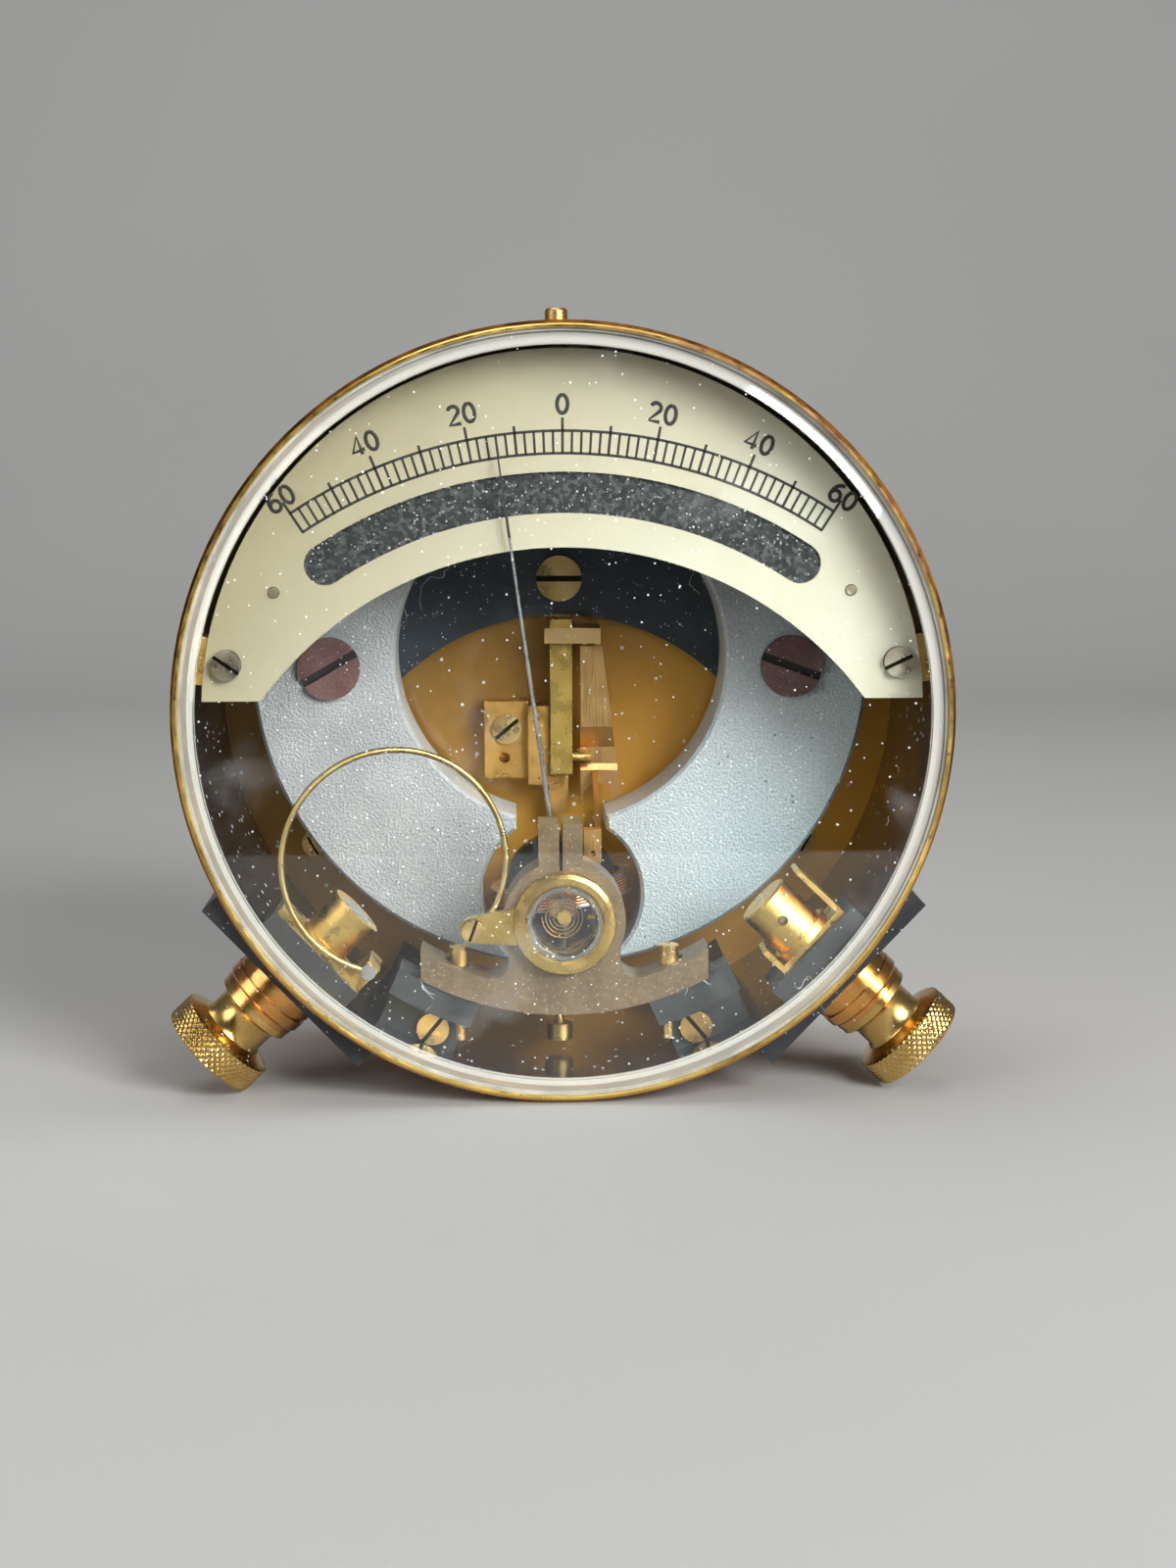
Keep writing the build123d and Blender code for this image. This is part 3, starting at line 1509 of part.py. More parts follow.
with BuildPart() as terminal_studs:
    for side, inner_end in ((1, strap_face_reach - capstan_flange_length), (-1, spool_reach)):
        end = nut_face_reach + stud_stand_out
        add(
            turned(
                terminal_section(side),
                terminal_axis(side),
                (
                    (0, inner_end),
                    (stud_radius, inner_end),
                    (stud_radius, end - 0.4),
                    (stud_radius - 0.4, end),
                    (0, end),
                ),
            )
        )
finish(terminal_studs, "terminal_studs")

with BuildPart() as contact_strap:
    with BuildSketch(terminal_front(1, terminal_depth - strap_width / 2)):
        with BuildLine():
            Polyline(
                (strap_long_reach, -strap_long_side),
                (inner_block_reach, -strap_long_side),
                (inner_block_reach, -strap_short_side),
                (strap_short_reach, -strap_short_side),
                (strap_short_reach, -strap_short_side + strap_thickness),
                (strap_face_reach, -strap_short_side + strap_thickness),
                (strap_face_reach, -strap_long_side - strap_thickness),
                (strap_long_reach, -strap_long_side - strap_thickness),
                close=True,
            )
        make_face()
    extrude(amount=-strap_width)
    out = terminal_out(1)
    with BuildSketch(Plane(origin=terminal_origin() + out * (strap_face_reach - 1), z_dir=out)):
        Circle(stud_radius)
    extrude(amount=3 * strap_thickness, mode=Mode.SUBTRACT)
finish(contact_strap, "contact_strap")

with BuildPart() as capstan_nut:
    add(
        turned(
            terminal_section(1),
            terminal_axis(1),
            (
                (0, capstan_reach),
                (capstan_radius - 0.3, capstan_reach),
                (capstan_radius, capstan_reach + 0.3),
                (capstan_radius, strap_face_reach - capstan_flange_length),
                (capstan_flange_radius, strap_face_reach - capstan_flange_length),
                (capstan_flange_radius, strap_face_reach),
                (stud_radius, strap_face_reach),
                (stud_radius, strap_face_reach - capstan_flange_length),
                (0, strap_face_reach - capstan_flange_length),
            ),
        )
    )
    with BuildSketch(terminal_front(1, 0)):
        with Locations(((capstan_reach + strap_face_reach - capstan_flange_length) / 2, 0)):
            Circle(capstan_hole_radius)
    extrude(amount=-2 * terminal_depth, mode=Mode.SUBTRACT)
finish(capstan_nut, "capstan_nut")

with BuildPart() as resistance_spool:
    spool_end = inner_block_reach - tag_thickness
    add(
        turned(
            terminal_section(-1),
            terminal_axis(-1),
            (
                (stud_radius, spool_reach),
                (spool_flange_radius, spool_reach),
                (spool_flange_radius, spool_reach + spool_flange_length),
                (spool_winding_radius, spool_reach + spool_flange_length),
                (spool_winding_radius, spool_end - spool_flange_length),
                (spool_flange_radius, spool_end - spool_flange_length),
                (spool_flange_radius, spool_end),
                (stud_radius, spool_end),
            ),
        )
    )
finish(resistance_spool, "resistance_spool")

with BuildPart() as terminal_tag:
    from_axis = post_spot - terminal_origin(post_spot.Y - front_y)
    post_reach = from_axis.dot(terminal_out(-1))
    post_side = (from_axis - terminal_out(-1) * post_reach).length
    with BuildSketch(terminal_front(-1, tag_front_depth)):
        with Locations(((inner_block_reach + spool_end) / 2, (post_side + strap_long_side) / 2)):
            Rectangle(tag_thickness, post_side - strap_long_side + 2 * lead_post_radius)
        with Locations(((inner_block_reach + post_reach - lead_post_radius) / 2, post_side)):
            Rectangle(inner_block_reach - post_reach + lead_post_radius, 2 * lead_post_radius)
    extrude(amount=-tag_width)
    out = terminal_out(-1)
    with BuildSketch(Plane(origin=terminal_origin() + out * (spool_end - 1), z_dir=out)):
        Circle(stud_radius)
    extrude(amount=3 * tag_thickness, mode=Mode.SUBTRACT)
finish(terminal_tag, "terminal_tag")

for side, name in ((1, "right"), (-1, "left")):
    with BuildPart() as washer:
        bore = stud_radius + stand_off
        washer_foot = collar_face_reach + running_clearance
        add(
            turned(
                terminal_section(side),
                terminal_axis(side),
                (
                    (bore, washer_foot),
                    (washer_radius, washer_foot),
                    (washer_radius, washer_foot + washer_thickness),
                    (bore, washer_foot + washer_thickness),
                ),
            )
        )
    finish(washer, "clamp_washer_" + name)
    with BuildPart() as nut:
        head_foot = nut_face_reach - nut_head_length
        flange_top = nut_foot_reach + nut_flange_length
        add(
            turned(
                terminal_section(side),
                terminal_axis(side),
                (
                    (bore, nut_foot_reach),
                    (nut_flange_radius, nut_foot_reach),
                    (nut_flange_radius, flange_top),
                    (nut_waist_radius + 0.5, flange_top + 0.5),
                    (nut_waist_radius, flange_top + 1.3),
                    (nut_waist_radius, head_foot - 1.3),
                    (nut_waist_radius + 0.5, head_foot - 0.5),
                    (nut_head_radius - nut_head_chamfer, head_foot),
                    (nut_head_radius, head_foot + nut_head_chamfer),
                    (nut_head_radius, nut_face_reach),
                    (bore, nut_face_reach),
                ),
            )
        )
    finish(nut, "clamp_nut_" + name)
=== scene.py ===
# %% [markdown]
# An old portable galvanometer, in cells.
# A brass drum stands on its rim. Behind a thick bevelled glass are an ivory scale, a cast magnet,
# a small moving coil with its pointer, and a clamp that holds the pointer for travel.
# The shapes of nearly all pieces come ready made, as a fixed frame in metres: X to the right, Y from the
# glass to the back, Z up from the table. This file gives every piece its finish and adds what only a
# mesh can show, such as knurling, printed figures and dust.

# %% Load the frame
import math
import bmesh
import bpy
from mathutils import Matrix, Vector


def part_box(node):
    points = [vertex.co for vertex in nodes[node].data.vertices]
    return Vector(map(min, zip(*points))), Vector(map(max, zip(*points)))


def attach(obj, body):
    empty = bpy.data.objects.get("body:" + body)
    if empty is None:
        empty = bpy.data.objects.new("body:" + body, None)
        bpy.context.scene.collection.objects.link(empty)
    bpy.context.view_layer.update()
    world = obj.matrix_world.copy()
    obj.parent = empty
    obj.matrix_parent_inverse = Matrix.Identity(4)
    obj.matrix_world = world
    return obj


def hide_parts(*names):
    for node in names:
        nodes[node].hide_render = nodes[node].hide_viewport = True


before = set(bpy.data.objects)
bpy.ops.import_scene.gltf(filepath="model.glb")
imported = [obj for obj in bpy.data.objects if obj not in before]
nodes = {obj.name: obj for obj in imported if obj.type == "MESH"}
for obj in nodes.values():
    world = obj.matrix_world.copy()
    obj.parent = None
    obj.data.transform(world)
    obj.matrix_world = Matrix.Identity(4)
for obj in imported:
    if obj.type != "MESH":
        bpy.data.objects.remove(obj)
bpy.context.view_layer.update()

millimetre = 0.001
print("pieces in the frame:", len(nodes))

# %% [markdown]
# Where things are. The frame gives every place that is needed: the drum's axis is the middle of the
# glass, and the pointer turns about the middle of the zero-setting ring. Reading them from the frame,
# and not typing them again, keeps this file right when a size in the frame changes.

# %% Measure the frame
glass_low, glass_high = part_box("front_glass")
drum_low, drum_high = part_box("case_drum")
case_height = (glass_low.z + glass_high.z) / 2
case_radius = (drum_high.x - drum_low.x) / 2
plate_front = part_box("scale_plate")[0].y
magnet_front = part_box("magnet")[0].y
lens_low, lens_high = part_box("lens_rim")
pivot_height = (lens_low.z + lens_high.z) / 2
print("drum axis at", round(case_height, 4), "pivot at", round(pivot_height, 4))

# %% [markdown]
# Helpers for node materials. A finish here is a tree of small nodes: noise for patches, a ramp for
# colours, bump for fine relief. Writing the same six lines for each node hides the idea, so one helper
# adds a node and fills its inputs, and a few more name the patterns that come back again and again.
# All patterns use Object coordinates, which are metres in the frame, so a scratch keeps its real size
# and moves with its piece.

# %% Node helpers
def add_node(tree, kind, inputs=None, **settings):
    """Add a node, set its properties, and fill its inputs from values or from other nodes' outputs."""
    made = tree.nodes.new("ShaderNode" + kind)
    for name, value in settings.items():
        setattr(made, name, value)
    for name, value in (inputs or {}).items():
        if isinstance(value, bpy.types.NodeSocket):
            tree.links.new(value, made.inputs[name])
        else:
            made.inputs[name].default_value = value
    return made


def opaque(colour):
    """A colour of three numbers with its fourth, or a socket as it is."""
    return colour if isinstance(colour, bpy.types.NodeSocket) else (*colour, 1.0)


def sum_up(tree, operation, *values):
    """Result of a Math node."""
    return add_node(tree, "Math", dict(enumerate(values)), operation=operation).outputs[0]


def mix_colour(tree, share, first, second):
    """Colour that goes from first to second as share goes from 0 to 1."""
    slots = {0: share, 6: opaque(first), 7: opaque(second)}
    return add_node(tree, "Mix", slots, data_type="RGBA").outputs[2]


def mix_value(tree, share, first, second):
    """Number that goes from first to second as share goes from 0 to 1."""
    return add_node(tree, "Mix", {0: share, 2: first, 3: second}, data_type="FLOAT").outputs[0]


def between(tree, value, low, high):
    """0 up to low, 1 from high, and a straight rise between them."""
    return add_node(tree, "MapRange", {0: value, 1: low, 2: high}).outputs[0]


def place(tree, stretch=(1, 1, 1), turn=(0, 0, 0)):
    """Object coordinates, stretched and turned."""
    here = add_node(tree, "TexCoord").outputs["Object"]
    return add_node(tree, "Mapping", {"Vector": here, "Scale": stretch, "Rotation": turn}).outputs[0]


def patches(tree, per_metre, detail=4.0, seed=0.0, where=None, low=0.35, high=0.65):
    """Soft patches from 0 to 1, with so many to a metre."""
    spot = where or place(tree)
    inputs = {"Vector": spot, "W": seed, "Scale": per_metre, "Detail": detail}
    cloud = add_node(tree, "TexNoise", inputs, noise_dimensions="4D").outputs[0]
    return between(tree, cloud, low, high)


def specks(tree, per_metre, size, share, seed=0.0):
    """1 on small round specks: some of the cells of a Voronoi pattern, each with its own size."""
    shift = (seed, 2 * seed, 3 * seed)
    here = add_node(tree, "VectorMath", {0: place(tree), 1: shift}, operation="ADD").outputs[0]
    cells = add_node(tree, "TexVoronoi", {"Vector": here, "Scale": per_metre})
    luck = add_node(tree, "SeparateColor", {0: cells.outputs["Color"]})
    picked = sum_up(tree, "LESS_THAN", luck.outputs[0], share)
    radius = sum_up(tree, "MULTIPLY", luck.outputs[1], size)
    inside = sum_up(tree, "LESS_THAN", cells.outputs["Distance"], radius)
    return sum_up(tree, "MULTIPLY", picked, inside)


def away_from(tree, height, x=0.0, mirrored=False):
    """Distance from a front-to-back line at a height and x, for turned marks round it."""
    parts = add_node(tree, "SeparateXYZ", {0: place(tree)})
    across = sum_up(tree, "ABSOLUTE", parts.outputs[0]) if mirrored else parts.outputs[0]
    offset = add_node(tree, "CombineXYZ", {0: sum_up(tree, "SUBTRACT", across, x),
                                           2: sum_up(tree, "SUBTRACT", parts.outputs[2], height)})
    return add_node(tree, "VectorMath", {0: offset.outputs[0]}, operation="LENGTH").outputs["Value"]


def rings(tree, distance, per_metre, seed=0.0):
    """Fine uneven grooves that depend on one distance only, as a lathe tool leaves them."""
    inputs = {"W": sum_up(tree, "ADD", distance, seed), "Scale": per_metre, "Detail": 3.0}
    return add_node(tree, "TexNoise", inputs, noise_dimensions="1D").outputs[0]


def relief(tree, height, depth, strength=1.0):
    """Bump from a height between 0 and 1, so many metres deep."""
    return add_node(tree, "Bump", {"Height": height, "Distance": depth, "Strength": strength}).outputs[0]


def new_finish(name):
    """A node material with its tree and its Principled shader."""
    finish = bpy.data.materials.new(name)
    finish.use_nodes = True
    return finish, finish.node_tree, finish.node_tree.nodes["Principled BSDF"]


def set_shader(tree, shader, **inputs):
    """Fill a shader's inputs. Names have underscores for spaces."""
    for name, value in inputs.items():
        socket = shader.inputs[name.replace("_", " ")]
        if isinstance(value, bpy.types.NodeSocket):
            tree.links.new(value, socket)
        else:
            socket.default_value = value


def dress(finish, *names):
    """Give CAD nodes a finish."""
    for name in names:
        nodes[name].data.materials.clear()
        nodes[name].data.materials.append(finish)


# %% [markdown]
# Old brass. Brass never keeps one colour: where fingers or polish reach it stays pale, and in corners
# it goes deep and dull. Two noises do that here, a large one for the colour and a small one for the
# roughness, and a fine scratched grain catches the light. One function makes every brass and bronze
# finish, because they differ only in their colours, in how dull they are and in which way the tool
# marks run. Metals carry their colour in the reflection, so Metallic is 1 and dust brings it down.

# %% Metal finishes
dust_colour = (0.62, 0.60, 0.56)


def old_metal(name, pale, deep, dull=(0.22, 0.42), grain=None, grain_depth=0.00002, dusty=0.12, seed=0.0,
              lacquer=0.0, painted_shade_from=None):
    """A metal with tarnish, tool marks and specks of dust, and with painted shade behind a depth if one is
    given.
    """
    finish, tree, shader = new_finish(name)
    tarnish = patches(tree, 110, 5.0, seed)
    smear = patches(tree, 420, 3.0, seed + 7)
    marks = grain(tree) if grain else patches(tree, 2600, 2.0, seed, place(tree, (1, 1, 9)))
    speck = specks(tree, 1700, 0.32, dusty, seed)
    colour = mix_colour(tree, tarnish, pale, deep)
    colour = mix_colour(tree, sum_up(tree, "MULTIPLY", smear, 0.25), colour, deep)
    rough = mix_value(tree, smear, dull[0], dull[1])
    # Painted shade: behind the given depth the colour goes dark and dull, for the shade in slots and round a
    # head's sides.
    if painted_shade_from is not None:
        depth = add_node(tree, "SeparateXYZ", {0: place(tree)}).outputs[1]
        slot_shade = between(tree, depth, painted_shade_from, painted_shade_from + 0.1 * millimetre)
        colour = mix_colour(tree, slot_shade, colour, (0.035, 0.024, 0.015))
        rough = mix_value(tree, slot_shade, rough, 0.8)
    set_shader(
        tree, shader,
        Base_Color=mix_colour(tree, speck, colour, dust_colour),
        Metallic=sum_up(tree, "SUBTRACT", 1.0, speck),
        Roughness=mix_value(tree, speck, rough, 0.9),
        Normal=relief(tree, marks, grain_depth, 0.5),
        Coat_Weight=lacquer, Coat_Roughness=0.08,
    )
    return finish


def turned_about(height, x=0.0, mirrored=False, per_metre=9000):
    """Grain for old_metal: circles about a front-to-back line."""
    return lambda tree: rings(tree, away_from(tree, height, x, mirrored), per_metre)


def middle(name):
    """Middle of a node's box."""
    low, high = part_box(name)
    return (low + high) / 2


brass_pale, brass_deep = (0.92, 0.66, 0.22), (0.66, 0.42, 0.12)
yellow_brass = old_metal("yellow_brass", brass_pale, brass_deep, seed=1.0)
dress(yellow_brass, "scale_lugs", "magnet_spacers", "core_bracket", "contact_strap", "terminal_tag",
      "coil_staff", "spring_collet", "counterweight", "capstan_nut", "resistance_spool")
print("brass on", len([n for n in nodes.values() if n.data.materials[0] == yellow_brass]), "pieces")

# %% [markdown]
# Screw heads. Each head was faced in a lathe, so its fine marks are circles about its own middle. A
# pair of screws shares one node and stands left and right of the middle line, so the marks measure
# from a mirrored x and both heads get their own circles. Whatever lies behind the face of a head is
# painted dark as painted shade in a driver's slot: that one line makes the slots read from a distance.

# %% Screws
def screw_finish(name, pale, deep, **more):
    """Turned finish for a screw, or for a mirrored pair, about its own middle."""
    low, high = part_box(name)
    pair = high.x - low.x > 0.02
    head_x = high.x - (high.z - low.z) / 2 if pair else (low.x + high.x) / 2
    grain = turned_about((low.z + high.z) / 2, head_x, pair, 16000)
    # Behind this depth, in the slot and round the head's sides, the colour is painted shade.
    slot = low.y + 0.2 * millimetre
    finish = old_metal(name + "_finish", pale, deep, grain=grain, grain_depth=0.00003, painted_shade_from=slot, **more)
    dress(finish, name)


brass_heads = ("backing_screw", "horn_screws", "pillar_screws", "guide_screw", "arm_screw")
for number, name in enumerate(brass_heads):
    screw_finish(name, (0.96, 0.72, 0.32), (0.58, 0.36, 0.13), seed=3.0 + number)
screw_finish("scale_screws", (0.62, 0.58, 0.48), (0.30, 0.25, 0.17), seed=12.0)
screw_finish("scale_rivets", (0.66, 0.60, 0.46), (0.42, 0.36, 0.24), seed=13.0)
dress(old_metal("cheese_head", (0.88, 0.66, 0.28), (0.58, 0.36, 0.12), seed=14.0), "bridge_screws",
      "core_screw")
print("finishes for screw heads:", len(brass_heads) + 3)

# %% [markdown]
# The drum. One piece shows three faces: outside, a deep orange lacquer with fine marks that run round
# it; inside the wall, a glossy black; on the floor, turned brass that is painted bright orange towards the
# lower right and dark olive towards the upper left, as painted light and shade. Painting faces by hand would
# need new material slots on a mesh that has to stay as it is, so the three finishes are chosen by where a
# point is: its distance from the drum's axis and its depth. The thicknesses here are a little less than the
# drum's own, so the border lies inside the metal.

# %% Drum
wall_thickness = 2.35 * millimetre
floor_thickness = 1.5 * millimetre


def drum_finish():
    """Lacquer outside, black inside the wall, turned brass with painted light and shade on the floor."""
    finish, tree, shader = new_finish("drum_lacquer")
    reach = away_from(tree, case_height)
    parts = add_node(tree, "SeparateXYZ", {0: place(tree)})
    across, depth, up = parts.outputs
    within_wall = sum_up(tree, "LESS_THAN", reach, case_radius - wall_thickness)
    before_back = sum_up(tree, "LESS_THAN", depth, drum_high.y - floor_thickness)
    hollow = sum_up(tree, "MULTIPLY", within_wall, before_back)
    floor_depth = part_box("magnet_spacers")[1].y
    on_floor = sum_up(tree, "GREATER_THAN", depth, floor_depth - 0.1 * millimetre)
    on_floor = sum_up(tree, "MULTIPLY", on_floor, hollow)
    lacquer = mix_colour(tree, patches(tree, 60, 5.0, 21.0), (0.80, 0.36, 0.07), (0.42, 0.15, 0.03))
    # Painted light and shade on the floor: bright orange towards the lower right, dark olive towards the
    # upper left.
    floor_painted_light = between(tree, sum_up(tree, "SUBTRACT", across, up), -0.065, -0.005)
    lit_floor_colour = mix_colour(tree, floor_painted_light, (0.26, 0.14, 0.03), (1.0, 0.50, 0.06))
    worn = sum_up(tree, "MULTIPLY", patches(tree, 110, 3.0, 22.0), 0.22)
    lit_floor_colour = mix_colour(tree, worn, lit_floor_colour, (0.60, 0.28, 0.06))
    wall = mix_colour(tree, patches(tree, 60, 3.0, 23.0), (0.007, 0.008, 0.011), (0.018, 0.020, 0.027))
    speck = specks(tree, 900, 0.30, 0.16, 4.0)
    speck_inside = sum_up(tree, "MULTIPLY", speck, hollow)
    colour = mix_colour(tree, hollow, lacquer, wall)
    colour = mix_colour(tree, on_floor, colour, lit_floor_colour)
    wall_only = sum_up(tree, "SUBTRACT", hollow, on_floor)
    around = rings(tree, depth, 6000)
    turned = rings(tree, reach, 5200)
    marks = mix_value(tree, on_floor, around, turned)
    rough = mix_value(tree, patches(tree, 300, 3.0, 24.0), 0.22, 0.34)
    rough = mix_value(tree, on_floor, rough, 0.44)
    rough = mix_value(tree, wall_only, rough, 0.13)
    metallic = sum_up(tree, "SUBTRACT", 1.0, sum_up(tree, "MAXIMUM", wall_only, speck_inside))
    metallic = sum_up(tree, "MULTIPLY", metallic, mix_value(tree, on_floor, 1.0, 0.6))
    set_shader(
        tree, shader,
        Base_Color=mix_colour(tree, speck_inside, colour, (0.75, 0.75, 0.72)),
        Metallic=metallic,
        Roughness=mix_value(tree, speck_inside, rough, 0.9),
        Normal=relief(tree, marks, 0.00003, 0.5),
        Coat_Weight=0.5, Coat_Roughness=0.1,
    )
    return finish


dress(drum_finish(), "case_drum")
print("drum radius", round(case_radius, 4))

# %% [markdown]
# The bezel. It is the brass that hands touch most, golden at the left and top, with a darker pinkish
# copper patch at the upper right that is painted shade. A large soft noise and the
# place on the rim choose between the two colours.

# %% Bezel
def bezel_finish():
    """Tarnished golden brass with a darker pinkish patch of painted shade at the upper right."""
    finish, tree, shader = new_finish("bezel_brass")
    parts = add_node(tree, "SeparateXYZ", {0: place(tree)})
    leaning = sum_up(tree, "ADD", parts.outputs[0], sum_up(tree, "SUBTRACT", parts.outputs[2], case_height))
    # Painted shade: a darker pinkish patch towards the upper right.
    pink_painted_shade = sum_up(tree, "MULTIPLY", between(tree, leaning, 0.055, 0.078), patches(tree, 160, 5.0, 31.0))
    brass = mix_colour(tree, patches(tree, 90, 6.0, 32.0), (0.95, 0.68, 0.20), (0.52, 0.34, 0.09))
    dark = patches(tree, 700, 4.0, 33.0, low=0.62, high=0.78)
    colour = mix_colour(tree, pink_painted_shade, brass, (0.62, 0.26, 0.20))
    colour = mix_colour(tree, dark, colour, (0.12, 0.08, 0.04))
    set_shader(
        tree, shader,
        Base_Color=colour,
        Metallic=mix_value(tree, dark, 1.0, 0.5),
        Roughness=mix_value(tree, patches(tree, 500, 4.0, 34.0), 0.24, 0.46),
        Normal=relief(tree, rings(tree, parts.outputs[1], 9000), 0.00002, 0.5),
    )
    return finish


dress(bezel_finish(), "bezel_ring")
dress(old_metal("knob_brass", (0.86, 0.60, 0.24), (0.45, 0.28, 0.10), seed=35.0), "clamp_knob")
dress(old_metal("ring_brass", (0.90, 0.66, 0.24), (0.56, 0.36, 0.10), (0.2, 0.36),
                turned_about(pivot_height), seed=36.0), "zero_ring")
print("bezel and ring done")

# %% [markdown]
# The magnet. It is cast steel under a thin silvery paint: grey, with a fine pebbled skin, dust on it,
# and a brighter machined wall where the bore and the opening were cut. Towards the lower right it is
# painted a pale bluish grey, as a painted reflection of the light. Cast skin is noise at two
# scales, used as real relief through Bump and a little in the colour, because hollows hold dirt.

# %% Magnet
def magnet_finish():
    """Fine grey casting with brighter machined walls and a painted bluish reflection at the lower right."""
    finish, tree, shader = new_finish("magnet_casting")
    skin = patches(tree, 2400, 6.0, 41.0, low=0.3, high=0.7)
    blotch = patches(tree, 120, 5.0, 42.0)
    across, depth, up = add_node(tree, "SeparateXYZ", {0: place(tree)}).outputs
    behind = sum_up(tree, "GREATER_THAN", depth, magnet_front + 0.6 * millimetre)
    colour = mix_colour(tree, blotch, (0.45, 0.455, 0.46), (0.34, 0.345, 0.355))
    # Painted reflection: pale bluish grey towards the lower right, where the light falls.
    painted_light_slope = sum_up(tree, "SUBTRACT", across, up)
    colour = mix_colour(tree, between(tree, painted_light_slope, -0.05, 0.005), colour, (0.50, 0.60, 0.63))
    colour = mix_colour(tree, sum_up(tree, "MULTIPLY", skin, 0.5), colour, (0.19, 0.195, 0.205))
    colour = mix_colour(tree, behind, colour, (0.52, 0.53, 0.54))
    pale = specks(tree, 1300, 0.34, 0.22, 5.0)
    dark = specks(tree, 700, 0.28, 0.10, 6.0)
    colour = mix_colour(tree, pale, colour, (0.80, 0.81, 0.82))
    colour = mix_colour(tree, dark, colour, (0.16, 0.15, 0.15))
    set_shader(
        tree, shader,
        Base_Color=colour,
        Metallic=0.35,
        Roughness=mix_value(tree, skin, 0.42, 0.58),
        Normal=relief(tree, skin, 0.00012, 0.8),
    )
    return finish


dress(magnet_finish(), "magnet")
print("magnet done, its face at", round(magnet_front, 4))

# %% [markdown]
# Dark pieces: the ebonite behind the magnet, under the terminals and under the bridge, the iron ball and
# the pointer's tip. The packing round the glass, which shows as a pale grey rim, comes from the same
# function. Ebonite is a hard black rubber that shines softly and shows every grain of dust and every
# hair, so it gets round specks and long thin fibres. A fibre is the edge between the cells of a
# Voronoi pattern that is first bent by noise, kept only where a second noise allows.

# %% Dark finishes
def dusty_black(name, colour, rough, speck_share=0.3, seed=0.0, fibres=True):
    """A satin dark material with dust and, if wanted, fibres."""
    finish, tree, shader = new_finish(name)
    noise = {"Vector": place(tree), "Scale": 180.0, "Detail": 2.0}
    bend = add_node(tree, "TexNoise", noise).outputs["Color"]
    bent = add_node(tree, "VectorMath", {0: bend, 1: (0.012, 0.012, 0.012)}, operation="MULTIPLY").outputs[0]
    spot = add_node(tree, "VectorMath", {0: place(tree), 1: bent}, operation="ADD").outputs[0]
    cells = add_node(tree, "TexVoronoi", {"Vector": spot, "Scale": 130.0}, feature="DISTANCE_TO_EDGE")
    thread = sum_up(tree, "LESS_THAN", cells.outputs[0], 0.007)
    thread = sum_up(tree, "MULTIPLY", thread, patches(tree, 90, 2.0, seed + 3, low=0.56, high=0.6))
    speck = specks(tree, 1500, 0.3, speck_share, seed)
    mark = sum_up(tree, "MAXIMUM", speck, thread) if fibres else speck
    shade = mix_colour(tree, patches(tree, 140, 5.0, seed + 1), colour, [1.9 * part for part in colour])
    satin = mix_value(tree, patches(tree, 500, 3.0, seed), rough, rough + 0.15)
    set_shader(
        tree, shader,
        Base_Color=mix_colour(tree, mark, shade, (0.52, 0.53, 0.53)),
        Roughness=mix_value(tree, mark, satin, 0.9),
        Normal=relief(tree, patches(tree, 3000, 2.0, seed + 2), 0.00002, 0.4),
    )
    return finish


dress(dusty_black("ebonite", (0.016, 0.021, 0.028), 0.3, seed=51.0), "backing_plate")
dress(dusty_black("ebonite_block", (0.018, 0.019, 0.021), 0.35, seed=52.0), "terminal_pads",
      "inner_blocks", "bridge_pads", "bridge_pillars")
dress(dusty_black("ground_edge", (0.30, 0.30, 0.27), 0.6, 0.05, 53.0, False), "glass_packing")
dress(dusty_black("tip_black", (0.006, 0.006, 0.006), 0.5, 0.0, 54.0, False), "pointer_tip")
dress(old_metal("iron", (0.30, 0.32, 0.36), (0.12, 0.13, 0.15), (0.12, 0.24), seed=55.0), "iron_core")
print("dark finishes done")

# %% [markdown]
# Red screws. The two screws that hold the magnet were dipped in a dark red lacquer, which has gone
# matt, brown in places and pale with dust in its pits. Their slots are painted dark as painted shade, in the
# way of the others.

# %% Red screws
def red_finish():
    """Matt dark red lacquer, pitted and dusty."""
    finish, tree, shader = new_finish("red_lacquer")
    pits = patches(tree, 1900, 5.0, 61.0)
    colour = mix_colour(tree, patches(tree, 260, 4.0, 62.0), (0.115, 0.042, 0.045), (0.16, 0.085, 0.075))
    colour = mix_colour(tree, sum_up(tree, "MULTIPLY", pits, 0.35), colour, (0.05, 0.03, 0.03))
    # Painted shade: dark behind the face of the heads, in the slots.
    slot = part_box("magnet_screws")[0].y + 0.25 * millimetre
    depth = add_node(tree, "SeparateXYZ", {0: place(tree)}).outputs[1]
    slot_shade = between(tree, depth, slot, slot + 0.1 * millimetre)
    colour = mix_colour(tree, slot_shade, colour, (0.012, 0.008, 0.008))
    speck = specks(tree, 2000, 0.3, 0.2, 63.0)
    set_shader(
        tree, shader,
        Base_Color=mix_colour(tree, speck, colour, (0.42, 0.36, 0.34)),
        Roughness=mix_value(tree, pits, 0.38, 0.6),
        Normal=relief(tree, pits, 0.00005, 0.6),
    )
    return finish


dress(red_finish(), "magnet_screws")
print("red screws done")

# %% [markdown]
# The ivory plate. It is metal under a cream paint, painted darker khaki towards the upper left and
# lighter towards the lower right, as painted shade and light. Old paint is not one colour: it has a slow
# change over the whole plate, small brown flecks and a faint satin unevenness. All three are noises at
# different scales, and the painted shade and light follow the place.

